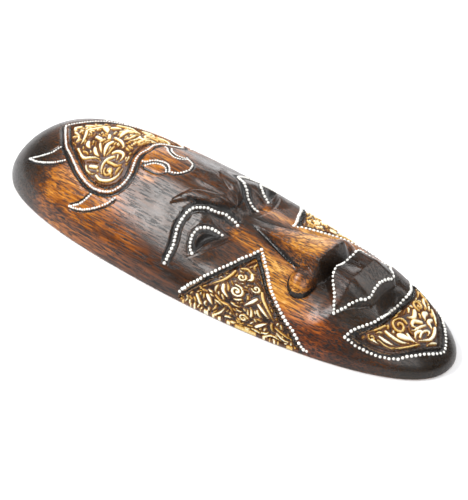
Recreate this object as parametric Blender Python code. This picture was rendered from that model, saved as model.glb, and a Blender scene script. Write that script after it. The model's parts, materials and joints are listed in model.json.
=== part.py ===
"""A long wooden wall mask, carved in one block and lying on its rim, face up.

The forehead end points to +Y, the chin to -Y, and the flat rim of the hollow
back lies on z = 0. The front is a domed surface laid out on a flat sheet, so
that rows of points can follow every groove and scroll, and then lifted.
Places on the face are shares of the half width and of the half length.
"""

import math

import bmesh
import bpy
from mathutils import Vector
from mathutils.geometry import delaunay_2d_cdt

# Block sizes in metres
LENGTH = 0.300
WIDTH = 0.0994
DOME_HEIGHT = 0.0359
EDGE_THICKNESS = 0.0022

# Shape of the outline and the dome, along the half length
WIDEST_AT = 0.164
HIGHEST_AT = 0.478
OUTLINE_TOP = (2.46, 3.19)
OUTLINE_CHIN = (2.02, 2.21)
PROFILE_TOP = 2.37
PROFILE_CHIN = 1.95
CROSS_SECTION = (2.04, 1.765)

# Large forms of the face, rise over the dome
BROW_RISE = 0.0062
FACE_SINK = 0.0036
MUZZLE_RISE = 0.0027
CHIN_DENT = 0.0062
NOSE_TIP_HEIGHT = 0.0382
NOSE_BRIDGE_HEIGHT = 0.0305
NOSE_HALF_WIDTH = 0.0106
WING_RISE = 0.0068
EYE_BULGE = 0.0016
BROW_LEAF_WIDTH = 0.0080
BROW_LEAF_RISE = 0.0014
LIP_RIDGE = 0.0022
NOSE_CROWN = 0.0012
NOSE_BLEND = 0.0012
WING_BLEND = 0.0006
LIP_BLEND = 0.0008

# Carving
GROOVE_WIDTH = 0.0024
GROOVE_DEPTH = 0.0013
PANEL_DEPTH = 0.0016
SCROLL_WIDTH = 0.0026
SCROLL_HEIGHT = 0.0015

# Hollow back
RIM_WIDTH = 0.0095
END_LAND = 0.0150
TOP_WALL = 0.0120

# Spacing of the points that the surface is made of
ROW_STEP = 0.0027
FILL_STEP = 0.0064
RIM_STEP = 0.0046
BACK_STEP = 0.0125
LINE_GAP = 0.0011
FORM_GAP = 0.0010
SIDE_GAP = 0.0009
SEAM_GAP = 0.0007
EDGE_GAP = 0.0012

HALF_LENGTH = 0.5 * LENGTH
HALF_WIDTH = 0.5 * WIDTH


def smooth(value, low, high):
    """Rise softly from 0 at low to 1 at high (low may be the greater one)."""
    share = min(1.0, max(0.0, (value - low) / (high - low)))
    return share * share * (3.0 - 2.0 * share)


def blend_max(first, second, radius):
    """Greater of two heights, with a soft corner of the given radius."""
    share = max(radius - abs(first - second), 0.0) / radius
    return max(first, second) + share * share * radius * 0.25


def half_width(y):
    """Half width of the outline at a place along the length."""
    centre = WIDEST_AT * HALF_LENGTH
    if y > centre:
        power, root = OUTLINE_TOP
        share = (y - centre) / (HALF_LENGTH - centre)
    else:
        power, root = OUTLINE_CHIN
        share = (centre - y) / (HALF_LENGTH + centre)
    return HALF_WIDTH * max(0.0, 1.0 - min(share, 1.0) ** power) ** (1.0 / root)


def dome(y):
    """Height of the plain dome over its edge, on the centre line."""
    centre = HIGHEST_AT * HALF_LENGTH
    if y > centre:
        share = (y - centre) / (HALF_LENGTH - centre)
        power = PROFILE_TOP
    else:
        share = (centre - y) / (HALF_LENGTH + centre)
        power = PROFILE_CHIN
    return DOME_HEIGHT * math.sqrt(max(0.0, 1.0 - min(share, 1.0) ** power))


def body(x, y):
    """Height of the plain dome at a place in plan."""
    side = half_width(y)
    if side < 1e-7:
        return EDGE_THICKNESS
    power, root = CROSS_SECTION
    share = min(1.0, abs(x) / side)
    return EDGE_THICKNESS + dome(y) * (1.0 - share ** power) ** (1.0 / root)


def forehead_and_face(x, y):
    """Rise of the forehead over the dome, and sink of the face under it."""
    u = abs(x) / HALF_WIDTH
    v = y / HALF_LENGTH
    below = smooth(v, -0.020, -0.140)
    spread = 0.60 + 0.16 * smooth(v, 0.14, 0.04)
    forehead = BROW_RISE * smooth(u, spread, 0.08) * smooth(v, 0.80, 0.25)
    face = -FACE_SINK * smooth(u, 0.86, 0.46) * smooth(v, -0.62, -0.47)
    fold = smooth(v, 0.16, 0.05) * smooth(v, -0.14, -0.08)
    frown = 0.10 * math.exp(-((u - 0.15) / 0.06) ** 2) - 0.40 * math.exp(-(u / 0.06) ** 2)
    return forehead * (1.0 - below) + face * below + BROW_RISE * frown * fold


def muzzle(x, y):
    """Rise around the mouth, and the dent between lower lip and chin."""
    u = abs(x) / HALF_WIDTH
    v = y / HALF_LENGTH
    reach = abs(x) / max(1e-6, half_width(y))
    rise = MUZZLE_RISE * smooth(reach, 0.93, 0.70)
    rise *= smooth(v, -0.56, -0.64) * smooth(v, -0.88, -0.77)
    dent = CHIN_DENT * smooth(u, 0.26, 0.02) * smooth(v, -0.705, -0.755) * smooth(v, -0.82, -0.76)
    return rise - dent


def eye_form(x, y):
    """Soft bulge of the eye, and the hollow beside the bridge of the nose."""
    u = abs(x) / HALF_WIDTH
    v = y / HALF_LENGTH
    ball = max(0.0, 1.0 - ((u - 0.53) / 0.22) ** 2 - ((v + 0.088) / 0.075) ** 2)
    corner = max(0.0, 1.0 - ((u - 0.24) / 0.12) ** 2 - ((v + 0.085) / 0.07) ** 2)
    return EYE_BULGE * ball - 1.3 * EYE_BULGE * corner


def nose(x, y, ground):
    """Put the wedge of the nose and its two wings on the ground height."""
    side = abs(x)
    start = -0.147 * HALF_LENGTH
    tip = -0.500 * HALF_LENGTH
    along = min(1.0, max(0.0, (start - y) / (start - tip)))
    flat = NOSE_HALF_WIDTH * (0.16 + 0.84 * along ** 1.25)
    top = NOSE_BRIDGE_HEIGHT + (NOSE_TIP_HEIGHT - NOSE_BRIDGE_HEIGHT) * along ** 1.05
    top -= NOSE_CROWN * along * min(1.6, side / flat) ** 2
    top -= 1.7 * max(0.0, side - flat)
    top -= 3.2 * max(0.0, tip - y)
    top -= 0.9 * max(0.0, y - start)
    height = blend_max(ground, top, NOSE_BLEND)
    across = (side - 0.345 * HALF_WIDTH) / (0.170 * HALF_WIDTH)
    down = (y + 0.467 * HALF_LENGTH) / (0.046 * HALF_LENGTH)
    reach = 1.0 - across * across - down * down
    if reach > 0.0:
        wing = ground + WING_RISE * math.sqrt(reach)
        height = blend_max(height, wing, WING_BLEND)
    return height


LIP_TOP = ((0.0, -0.553), (0.10, -0.560), (0.225, -0.564), (0.287, -0.578), (0.334, -0.595),
           (0.396, -0.612), (0.494, -0.636))
LIP_LINE = ((0.0, -0.702), (0.10, -0.706), (0.21, -0.711), (0.284, -0.691), (0.338, -0.673),
            (0.404, -0.657), (0.494, -0.637))
LIP_TOP_HEIGHT = ((0.0, 0.0333), (0.17, 0.0366), (0.225, 0.0352), (0.334, 0.0290), (0.494, 0.0220))
LIP_LINE_HEIGHT = ((0.0, 0.0318), (0.20, 0.0298), (0.284, 0.0288), (0.404, 0.0242), (0.494, 0.0220))


def straight(pairs, value):
    """Read a height off a straight-sided line through a few pairs."""
    if value <= pairs[0][0]:
        return pairs[0][1]
    for (x0, y0), (x1, y1) in zip(pairs, pairs[1:]):
        if value <= x1:
            return y0 + (y1 - y0) * (value - x0) / (x1 - x0)
    return pairs[-1][1]


def mouth(x, y, ground):
    """Put the two standing lips on the ground height."""
    u = abs(x) / HALF_WIDTH
    v = y / HALF_LENGTH
    if u > 0.494:
        return ground
    top = straight(LIP_TOP, u)
    line = straight(LIP_LINE, u)
    span = max(0.004, top - line)
    share = min(1.0, max(0.0, (v - line) / span))
    lip = (1.0 - share) * straight(LIP_LINE_HEIGHT, u) + share * straight(LIP_TOP_HEIGHT, u)
    lip += LIP_RIDGE * (1.0 - abs(2.0 * share - 1.0)) * smooth(u, 0.50, 0.20)
    lip -= 2.4 * HALF_LENGTH * max(0.0, v - top)
    lip -= 3.4 * HALF_LENGTH * max(0.0, line - v)
    return blend_max(ground, lip, LIP_BLEND)


def front(x, y):
    """Height of the front with its large forms, before the carving."""
    rim = smooth(abs(x) / max(1e-6, half_width(y)), 0.99, 0.80)
    height = body(x, y) + forehead_and_face(x, y) * rim + muzzle(x, y) + eye_form(x, y)
    height = nose(x, y, height)
    return mouth(x, y, height)


def flatten(x, y):
    """Lay a place in plan out on the flat sheet."""
    side = half_width(y)
    share = 0.0 if side < 1e-7 else min(1.0, max(-1.0, x / side))
    along = min(1.0, max(-1.0, y / HALF_LENGTH))
    return Vector((side * math.asin(share), HALF_LENGTH * math.asin(along)))


def unflatten(point):
    """Bring a point of the flat sheet back to its place in plan."""
    y = HALF_LENGTH * math.sin(max(-1.0, min(1.0, point.y / HALF_LENGTH / 1.5708)) * 1.5708)
    side = half_width(y)
    if side < 1e-7:
        return 0.0, y
    return side * math.sin(min(1.5708, point.x / side)), y


def curve(shares, closed=False):
    """Draw a smooth line through a few places, with even steps on the sheet."""
    knots = [flatten(u * HALF_WIDTH, v * HALF_LENGTH) for u, v in shares]
    ring = [knots[-1]] + knots + knots[:2] if closed else [knots[0]] + knots + [knots[-1]]
    dense = []
    for p0, p1, p2, p3 in zip(ring, ring[1:], ring[2:], ring[3:]):
        for step in range(12):
            t = step / 12.0
            point = p1 * 2.0 + (p2 - p0) * t
            point += (p0 * 2.0 - p1 * 5.0 + p2 * 4.0 - p3) * t * t
            point += (p1 * 3.0 - p0 - p2 * 3.0 + p3) * t ** 3
            dense.append(point * 0.5)
    dense.append(ring[-2])
    return even(dense, ROW_STEP)


def even(points, step):
    """Place points at even steps along a line, both ends kept."""
    runs = [(b - a).length for a, b in zip(points, points[1:])]
    total = sum(runs)
    count = max(1, round(total / step))
    result = [points[0]]
    index = 0
    passed = 0.0
    for number in range(1, count):
        wanted = total * number / count
        while passed + runs[index] < wanted:
            passed += runs[index]
            index += 1
        share = (wanted - passed) / max(1e-9, runs[index])
        result.append(points[index].lerp(points[index + 1], share))
    result.append(points[-1])
    return result


def spiral(u, v, radius, start, turns, hand):
    """Draw a scroll that winds inwards from its start angle in degrees."""
    centre = flatten(u * HALF_WIDTH, v * HALF_LENGTH)
    points = []
    for step in range(25):
        share = step / 24.0
        angle = math.radians(start + hand * 360.0 * turns * share)
        reach = radius * HALF_WIDTH * (1.0 - 0.78 * share)
        points.append(centre + Vector((math.cos(angle), math.sin(angle))) * reach)
    return even(points, ROW_STEP)


class Stroke:
    """One cut or one raised line of the carving, with a width and a height."""

    def __init__(self, points, width, height, taper=False):
        """Keep the line, its half width and its height (below zero: a cut)."""
        self.points = points
        self.half = 0.5 * width
        self.height = height
        self.taper = taper
        self.low = Vector((min(p.x for p in points), min(p.y for p in points)))
        self.high = Vector((max(p.x for p in points), max(p.y for p in points)))

    def half_at(self, share):
        """Half width at a share of the way along the line."""
        if not self.taper:
            return self.half
        return self.half * (0.35 + 0.65 * math.sin(math.pi * min(1.0, 0.15 + 0.85 * share)))

    def depth(self, point):
        """Height that this stroke gives at a point of the sheet."""
        if point.x < self.low.x - self.half or point.x > self.high.x + self.half:
            return 0.0
        if point.y < self.low.y - self.half or point.y > self.high.y + self.half:
            return 0.0
        best = 0.0
        count = len(self.points) - 1
        for index in range(count):
            start = self.points[index]
            step = self.points[index + 1] - start
            share = (point - start).dot(step) / max(1e-12, step.length_squared)
            share = min(1.0, max(0.0, share))
            gap = (point - start - step * share).length
            best = max(best, 1.0 - gap / self.half_at((index + share) / count))
        return self.height * min(1.0, best * 1.25)

    def rows(self):
        """Points on the line, and on both of its sides."""
        count = len(self.points) - 1
        sides = []
        for index, point in enumerate(self.points):
            ahead = self.points[min(count, index + 1)] - self.points[max(0, index - 1)]
            if ahead.length < 1e-9:
                continue
            across = Vector((-ahead.y, ahead.x)).normalized() * self.half_at(index / count)
            sides.append(point + across)
            sides.append(point - across)
        return list(self.points), sides


SHELL = ((0.0, 0.800), (0.15, 0.759), (0.29, 0.715), (0.41, 0.647), (0.56, 0.550), (0.65, 0.473),
         (0.667, 0.428), (0.648, 0.383), (0.605, 0.350), (0.48, 0.323), (0.39, 0.328),
         (0.22, 0.350), (0.0, 0.363))
CHEEK_UPPER = ((0.955, -0.100), (0.92, -0.112), (0.82, -0.157), (0.67, -0.198), (0.49, -0.230),
               (0.37, -0.254), (0.273, -0.270))
CHEEK_LOWER = ((0.273, -0.270), (0.44, -0.333), (0.57, -0.380), (0.66, -0.433), (0.724, -0.483),
               (0.774, -0.563), (0.79, -0.602))
CHIN_TOP = ((0.0, -0.755), (0.135, -0.762), (0.235, -0.766), (0.334, -0.758), (0.446, -0.734),
            (0.509, -0.717), (0.575, -0.706))
CHIN_LOWER = ((0.575, -0.706), (0.557, -0.747), (0.522, -0.782), (0.480, -0.825), (0.388, -0.875),
              (0.316, -0.901), (0.243, -0.923), (0.161, -0.943), (0.076, -0.955), (0.0, -0.963))
EYE_ARC = ((0.92, -0.004), (0.80, 0.004), (0.662, 0.021), (0.538, 0.035), (0.471, 0.034),
           (0.361, 0.021), (0.310, -0.017), (0.245, -0.061), (0.209, -0.097), (0.187, -0.132))
LID_ARC = ((0.712, -0.072), (0.65, -0.044), (0.567, -0.033), (0.507, -0.040), (0.453, -0.063),
           (0.392, -0.101), (0.378, -0.119))
EYE_SLIT = ((0.671, -0.071), (0.565, -0.084), (0.486, -0.102), (0.438, -0.125))
BROW_LEAF = ((0.36, 0.118), (0.25, 0.072), (0.175, 0.035), (0.140, -0.005), (0.10, -0.045),
             (0.03, -0.082))
REAR_FLIPPER_IN = ((0.573, 0.818), (0.523, 0.752), (0.477, 0.723), (0.400, 0.699))
REAR_FLIPPER_OUT = ((0.573, 0.818), (0.605, 0.765), (0.600, 0.722), (0.578, 0.680), (0.53, 0.640))
FRONT_FLIPPER_IN = ((0.853, 0.520), (0.824, 0.479), (0.764, 0.451), (0.70, 0.430))
FRONT_FLIPPER_OUT = ((0.853, 0.520), (0.850, 0.462), (0.832, 0.429), (0.800, 0.395),
                     (0.745, 0.363), (0.66, 0.325))
HEAD_WAIST = ((0.20, 0.318), (0.139, 0.285), (0.104, 0.257), (0.108, 0.231), (0.157, 0.209))
HEAD_OUTLINE = ((0.0, 0.145), (0.092, 0.151), (0.167, 0.171), (0.220, 0.205), (0.285, 0.250),
                (0.290, 0.290), (0.235, 0.328))
NOSE_SIDE = ((0.06, -0.170), (0.12, -0.270), (0.19, -0.360), (0.27, -0.425))


def inset(shares, amount):
    """Move the places of a closed half outline towards its middle."""
    middle_u = 0.5 * (min(s[0] for s in shares) + max(s[0] for s in shares))
    middle_v = 0.5 * (min(s[1] for s in shares) + max(s[1] for s in shares))
    return tuple((middle_u + (u - middle_u) * amount if u > 0.0 else 0.0,
                  middle_v + (v - middle_v) * amount) for u, v in shares)


def panel_regions():
    """Closed outlines of the three kinds of sunk panel, on the sheet."""
    shell = curve(inset(SHELL, 0.90))
    shell += [Vector((-0.4 * HALF_WIDTH, shell[-1].y)), Vector((-0.4 * HALF_WIDTH, shell[0].y))]
    cheek = curve(CHEEK_UPPER) + curve(CHEEK_LOWER)
    cheek += [Vector((1.8 * HALF_WIDTH, cheek[-1].y)), Vector((1.8 * HALF_WIDTH, cheek[0].y))]
    chin = curve(CHIN_TOP) + curve(CHIN_LOWER)
    chin += [Vector((-0.4 * HALF_WIDTH, chin[-1].y)), Vector((-0.4 * HALF_WIDTH, chin[0].y))]
    return shell, cheek, chin


def region_share(region, point):
    """How far a point lies inside a closed outline, 0 outside to 1 inside."""
    inside = False
    nearest = 1.0
    for a, b in zip(region, region[1:] + region[:1]):
        if (a.y > point.y) != (b.y > point.y):
            if point.x < a.x + (b.x - a.x) * (point.y - a.y) / (b.y - a.y):
                inside = not inside
        step = b - a
        share = min(1.0, max(0.0, (point - a).dot(step) / max(1e-12, step.length_squared)))
        nearest = min(nearest, (point - a - step * share).length)
    return smooth(nearest, 0.0, 0.5 * GROOVE_WIDTH) if inside else 0.0


def carving():
    """All strokes of the right-hand half: cuts, scrollwork and swells."""
    cuts = []
    for shares in (SHELL, CHEEK_UPPER, CHEEK_LOWER, CHIN_TOP, CHIN_LOWER, EYE_ARC, LID_ARC,
                   REAR_FLIPPER_IN, REAR_FLIPPER_OUT, FRONT_FLIPPER_IN, FRONT_FLIPPER_OUT,
                   HEAD_WAIST, HEAD_OUTLINE):
        cuts.append(Stroke(curve(shares), GROOVE_WIDTH, -GROOVE_DEPTH))
    cuts.append(Stroke(curve(EYE_SLIT), 2.2 * GROOVE_WIDTH, -2.0 * GROOVE_DEPTH, True))
    cuts.append(Stroke(curve(NOSE_SIDE), GROOVE_WIDTH, -0.6 * GROOVE_DEPTH))
    lines = [
        spiral(0.30, 0.445, 0.150, 200.0, 1.15, -1.0),
        spiral(0.14, 0.560, 0.120, 250.0, 1.0, 1.0),
        curve(((0.52, 0.40), (0.56, 0.46), (0.47, 0.55), (0.30, 0.56))),
        curve(((0.30, 0.56), (0.36, 0.62), (0.28, 0.67), (0.16, 0.66))),
        curve(((0.06, 0.44), (0.16, 0.40), (0.34, 0.375), (0.50, 0.375))),
        curve(((0.0, 0.70), (0.08, 0.66), (0.10, 0.61), (0.04, 0.57))),
        spiral(0.66, -0.285, 0.130, 90.0, 1.1, 1.0),
        spiral(0.78, -0.440, 0.095, 270.0, 1.0, -1.0),
        curve(((0.36, -0.27), (0.44, -0.262), (0.54, -0.235), (0.70, -0.222))),
        curve(((0.86, -0.20), (0.88, -0.25), (0.84, -0.31), (0.86, -0.37))),
        curve(((0.48, -0.31), (0.56, -0.33), (0.64, -0.38), (0.66, -0.40))),
        curve(((0.88, -0.42), (0.86, -0.48), (0.81, -0.52), (0.80, -0.56))),
        spiral(0.16, -0.800, 0.120, 90.0, 1.1, -1.0),
        curve(((0.0, -0.90), (0.12, -0.89), (0.26, -0.865), (0.38, -0.82))),
        curve(((0.50, -0.74), (0.44, -0.765), (0.36, -0.765), (0.31, -0.79))),
        curve(((0.0, -0.785), (0.03, -0.82), (0.02, -0.86), (0.0, -0.87))),
    ]
    scrolls = [Stroke(line, SCROLL_WIDTH, SCROLL_HEIGHT) for line in lines]
    return cuts, scrolls, [Stroke(curve(BROW_LEAF), BROW_LEAF_WIDTH, BROW_LEAF_RISE, True)]


def lift(point, regions, strokes):
    """Bring a point of the sheet to its place on the carved front."""
    x, y = unflatten(point)
    cuts, scrolls, swells = strokes
    side = max(1e-6, half_width(y))
    height = front(x, y)
    detail = -PANEL_DEPTH * max(region_share(region, point) for region in regions)
    rise = max(stroke.depth(point) for stroke in scrolls)
    detail = min(0.0, detail + rise) + min(stroke.depth(point) for stroke in cuts)
    detail += max(stroke.depth(point) for stroke in swells)
    detail *= smooth(x / side, 1.0, 0.975) * smooth(abs(y) / HALF_LENGTH, 1.0, 0.985)
    gap = 0.15 * ROW_STEP
    slope_x = (body(x + gap, y) - body(x - gap, y)) / (2.0 * gap)
    slope_y = (body(x, y + gap) - body(x, y - gap)) / (2.0 * gap)
    normal = Vector((-slope_x, -slope_y, 1.0)).normalized()
    if x < 1e-6:
        normal.x = 0.0
    return Vector((x, y, height)) + normal * detail


def thin(groups):
    """Keep points that stand far enough from those kept before them."""
    kept = []
    cells = {}
    size = FILL_STEP
    for points, gap in groups:
        for point in points:
            key = (math.floor(point.x / size), math.floor(point.y / size))
            near = [other for i in (-1, 0, 1) for j in (-1, 0, 1)
                    for other in cells.get((key[0] + i, key[1] + j), ())]
            if any((other - point).length < gap for other in near):
                continue
            kept.append(point)
            cells.setdefault(key, []).append(point)
    return kept


def rim_line():
    """Outline of the right-hand half in plan, at even steps, top to chin."""
    fine = []
    for step in range(1201):
        y = HALF_LENGTH * math.cos(math.pi * step / 1200.0)
        fine.append(Vector((half_width(y), y)))
    return even(fine, RIM_STEP)


def guides():
    """Rows of points where the large forms have an edge."""
    rows = []
    for across in (0.78, 1.0, 1.45):
        line = []
        for step in range(9):
            share = step / 8.0
            y = -0.15 - (0.500 - 0.15) * share
            width = NOSE_HALF_WIDTH * (0.16 + 0.84 * share ** 1.25) * across
            line.append((width / HALF_WIDTH, y))
        rows.append(curve(line))
    for v in (-0.500, -0.514, -0.530):
        rows.append(curve(((0.0, v), (0.12, v), (0.25, v))))
    for pairs, shift in ((LIP_TOP, 0.0), (LIP_TOP, 0.014), (LIP_LINE, 0.0), (LIP_LINE, -0.012)):
        rows.append(curve([(u, v + shift) for u, v in pairs]))
    for share in (0.5, 0.25, 0.75):
        rows.append(curve([(u, share * straight(LIP_TOP, u) + (1.0 - share) * straight(LIP_LINE, u))
                           for u in (0.0, 0.12, 0.24, 0.36, 0.46)]))
    for reach in (1.0, 0.7, 0.25):
        ring = []
        for step in range(12):
            angle = math.tau * step / 12.0
            ring.append((0.345 + 0.170 * reach * math.cos(angle),
                         -0.467 + 0.046 * reach * math.sin(angle)))
        rows.append(curve(ring, closed=True))
    return [point for row in rows for point in row]


def front_mesh(rim):
    """Points and triangles of the right-hand half of the carved front."""
    regions = panel_regions()
    strokes = carving()
    lines = []
    sides = []
    for stroke in [one for group in strokes for one in group]:
        line, side = stroke.rows()
        lines += line
        sides += side
    lip = guides()
    outline = [flatten(p.x * 0.99999, p.y) for p in rim]
    outline[0].x = 0.0
    outline[-1].x = 0.0
    reach = outline[0].y
    middle = [Vector((0.0, -reach + 2.0 * reach * i / 150.0)) for i in range(1, 150)]
    fill = []
    rows = int(2.0 * reach / (0.87 * FILL_STEP))
    for j in range(rows):
        for i in range(20):
            fill.append(Vector(((i + 0.5 * (j % 2)) * FILL_STEP + 1.7 * EDGE_GAP,
                                -reach + (j + 0.5) * 0.87 * FILL_STEP)))
    groups = ((outline, 0.0), (middle, 0.0), (lines, LINE_GAP), (lip, FORM_GAP), (sides, SIDE_GAP),
              (fill, 0.62 * FILL_STEP))
    kept = thin(groups)
    limit = len(outline) + len(middle)
    inner = []
    for point in kept[limit:]:
        x, y = unflatten(point)
        side = half_width(y)
        if point.x < SEAM_GAP or point.x > side * 1.5708 - EDGE_GAP or side < 0.04 * HALF_WIDTH:
            continue
        if abs(point.y) > reach - 1.7 * EDGE_GAP:
            continue
        inner.append(point)
    points = outline + middle + inner
    ring = list(range(len(outline))) + list(range(len(outline), limit))
    found = delaunay_2d_cdt(points, [], [ring], 1, 1e-7)
    places = [lift(point, regions, strokes) for point in found[0]]
    for index, point in enumerate(found[0]):
        if point.x < 1e-7:
            places[index].x = 0.0
    return places, found[2], len(outline)


def ceiling(x, y):
    """Height of the hollow at a place of the back, 0 on the flat land."""
    reach = HALF_LENGTH - END_LAND
    along = min(1.0, abs(y) / reach)
    side = (half_width(y) - RIM_WIDTH) * (1.0 - along ** 6.0) ** 0.5
    if side < 1e-6 or x >= side:
        return 0.0
    top = max(0.0, dome(y) - TOP_WALL) * (1.0 - along ** 3.0) ** 0.5
    return top * (1.0 - (x / side) ** 2.6) ** 0.55


def back_mesh(rim):
    """Points and triangles of the right-hand half of the hollow back."""
    edge = []
    for step in range(101):
        y = (HALF_LENGTH - END_LAND) * math.cos(math.pi * step / 100.0)
        along = abs(y) / (HALF_LENGTH - END_LAND)
        side = max(0.0, half_width(y) - RIM_WIDTH) * math.sqrt(max(0.0, 1.0 - along ** 6.0))
        edge.append(Vector((side, y)))
    lip = even(edge, 0.62 * BACK_STEP)
    reach = lip[0].y
    inner = [Vector((p.x * k, p.y * (0.55 + 0.45 * k))) for k in (0.90, 0.76) for p in lip[1:-1]]
    fill = []
    for j in range(30):
        for i in range(5):
            fill.append(Vector(((i + 0.5 * (j % 2) + 0.32) * BACK_STEP,
                                -reach + j * 0.87 * BACK_STEP)))
    fill = [p for p in fill if ceiling(p.x, p.y) > 0.32 * BACK_STEP]
    middle_count = int(2.0 * reach / (0.8 * BACK_STEP))
    middle = [Vector((0.0, -reach + 2.0 * reach * i / middle_count))
              for i in range(1, middle_count)]
    outline = [Vector((p.x, p.y)) for p in rim]
    outline[0].x = 0.0
    outline[-1].x = 0.0
    chain = [Vector((0.0, lip[-1].y))] + middle + [Vector((0.0, lip[0].y))]
    near = 0.16 * BACK_STEP
    kept = thin(((outline, 0.0), (chain, 0.0), (lip[1:-1], near), (inner, 1.75 * near),
                 (fill, 2.8 * near)))
    start = len(outline) + len(chain)
    kept = [p for k, p in enumerate(kept) if k < start or p.x > near]
    ring = list(range(start))
    step = [start - 1] + list(range(start, start + len(lip) - 2)) + [len(outline)]
    edges = list(zip(step, step[1:]))
    found = delaunay_2d_cdt(kept, edges, [ring], 1, 1e-7)
    land = set(step)
    places = [Vector((max(0.0, p.x), p.y, 0.0 if k in land else ceiling(p.x, p.y)))
              for k, p in enumerate(found[0])]
    return places, found[2]


def add_half(mesh, places, faces, side, turn):
    """Add one half of a surface to the mesh, mirrored when side is -1."""
    verts = [mesh.verts.new((p.x * side, p.y, p.z)) for p in places]
    for face in faces:
        order = face if (side > 0) == turn else tuple(reversed(face))
        mesh.faces.new([verts[i] for i in order])
    return verts


def wood_material():
    """Plain brown wood for the whole block."""
    material = bpy.data.materials.new("wood")
    material.use_nodes = True
    shader = material.node_tree.nodes["Principled BSDF"]
    shader.inputs["Base Color"].default_value = (0.16, 0.065, 0.022, 1.0)
    shader.inputs["Roughness"].default_value = 0.35
    return material


def build():
    """Make the mask as one closed block."""
    for item in list(bpy.data.objects):
        bpy.data.objects.remove(item)
    rim = rim_line()
    top_places, top_faces, count = front_mesh(rim)
    low_places, low_faces = back_mesh(rim)
    for index, point in enumerate(rim):
        top_places[index] = Vector((point.x, point.y, EDGE_THICKNESS))
        low_places[index] = Vector((point.x, point.y, 0.0))
    top_places[0].x = 0.0
    low_places[0].x = 0.0
    top_places[count - 1].x = 0.0
    low_places[count - 1].x = 0.0
    mesh = bmesh.new()
    for side in (1.0, -1.0):
        upper = add_half(mesh, top_places, top_faces, side, True)
        lower = add_half(mesh, low_places, low_faces, side, False)
        for index in range(count - 1):
            quad = [upper[index], upper[index + 1], lower[index + 1], lower[index]]
            mesh.faces.new(quad if side > 0 else quad[::-1])
    bmesh.ops.remove_doubles(mesh, verts=mesh.verts, dist=1e-6)
    bmesh.ops.recalc_face_normals(mesh, faces=mesh.faces)
    bmesh.ops.triangulate(mesh, faces=mesh.faces)
    data = bpy.data.meshes.new("wooden_mask")
    mesh.to_mesh(data)
    mesh.free()
    mask = bpy.data.objects.new("wooden_mask", data)
    data.materials.append(wood_material())
    bpy.context.scene.collection.objects.link(mask)
    return mask


build()
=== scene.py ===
"""Dresses the carved wooden wall mask and sets it up in a plain photo studio.

The mask lies on its rim, face up, with its forehead end towards +Y. Places on
the face are shares of the half width and of the half length, as (u, v).
"""

import json
import logging
import math
import random
from contextlib import contextmanager
from dataclasses import dataclass, field
from enum import Enum
from typing import Iterator, Sequence

import bmesh
import bpy
import numpy as np
from mathutils import Matrix, Vector, noise

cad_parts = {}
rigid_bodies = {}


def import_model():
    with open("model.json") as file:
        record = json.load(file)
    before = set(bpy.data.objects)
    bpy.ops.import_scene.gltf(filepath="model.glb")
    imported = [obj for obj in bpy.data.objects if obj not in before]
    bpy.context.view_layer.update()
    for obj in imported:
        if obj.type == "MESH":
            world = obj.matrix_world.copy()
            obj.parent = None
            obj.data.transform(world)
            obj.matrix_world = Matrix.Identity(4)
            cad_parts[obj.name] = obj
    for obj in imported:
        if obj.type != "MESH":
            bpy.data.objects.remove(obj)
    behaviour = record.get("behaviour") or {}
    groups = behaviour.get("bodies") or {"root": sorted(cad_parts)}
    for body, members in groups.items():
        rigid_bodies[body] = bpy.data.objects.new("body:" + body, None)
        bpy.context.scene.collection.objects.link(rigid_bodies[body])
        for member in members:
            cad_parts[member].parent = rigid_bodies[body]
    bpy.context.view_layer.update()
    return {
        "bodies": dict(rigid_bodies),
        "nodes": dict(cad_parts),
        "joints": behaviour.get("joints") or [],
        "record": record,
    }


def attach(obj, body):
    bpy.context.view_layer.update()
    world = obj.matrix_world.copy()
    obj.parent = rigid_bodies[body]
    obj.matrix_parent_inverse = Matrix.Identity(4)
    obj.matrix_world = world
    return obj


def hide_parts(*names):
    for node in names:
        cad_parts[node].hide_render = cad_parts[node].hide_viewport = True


LOG = logging.getLogger("wall_mask")
MM = 0.001
FAR = 1.0
QUARTER_TURN = 1.5708
TINY = 1e-6
MESH_LISTS = ("vertices", "edges", "polygons")
GRAIN_TURN = 0.03
Place = tuple[float, float]
Line = tuple[Place, ...]
Colour = tuple[float, float, float]
Faces = list[tuple[int, ...]]
Socket = bpy.types.NodeSocket
BLACK_PAINT: Colour = (0.010, 0.008, 0.007)


class Side(Enum):
    """Places of the three finishes in the list of the mask's materials."""

    FACE = 0
    PANEL = 1
    BACK = 2


class Tint(Enum):
    """How much of the pale wash a carved leaf has kept."""

    BROWN = 0.22
    GOLD = 0.55
    CREAM = 0.85
    WHITE = 1.0


BROWN, GOLD, CREAM, WHITE = Tint


def unit(value: np.ndarray) -> np.ndarray:
    """Hold numbers between 0 and 1."""
    return np.clip(value, 0.0, 1.0)


def walked(steps: np.ndarray) -> np.ndarray:
    """Add up steps to the way walked at each point, 0 at the first."""
    return np.concatenate([[0.0], np.cumsum(steps)])


def smooth(value: np.ndarray, low: float, high: float) -> np.ndarray:
    """Rise softly from 0 at low to 1 at high.

    Args:
        value: Numbers to read.
        low: Where the rise starts; it may be the greater one.
        high: Where the rise ends.

    Returns:
        Shares from 0 to 1.
    """
    share = unit((value - low) / (high - low))
    return share * share * (3.0 - 2.0 * share)


def blend_max(first: np.ndarray, second: np.ndarray, radius: float) -> np.ndarray:
    """Take the greater of two heights, with a soft corner.

    Args:
        first: One height.
        second: The other height.
        radius: Reach of the soft corner in metres.

    Returns:
        The blended height.
    """
    share = np.maximum(radius - np.abs(first - second), 0.0) / radius
    return np.maximum(first, second) + share * share * radius * 0.25


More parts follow.
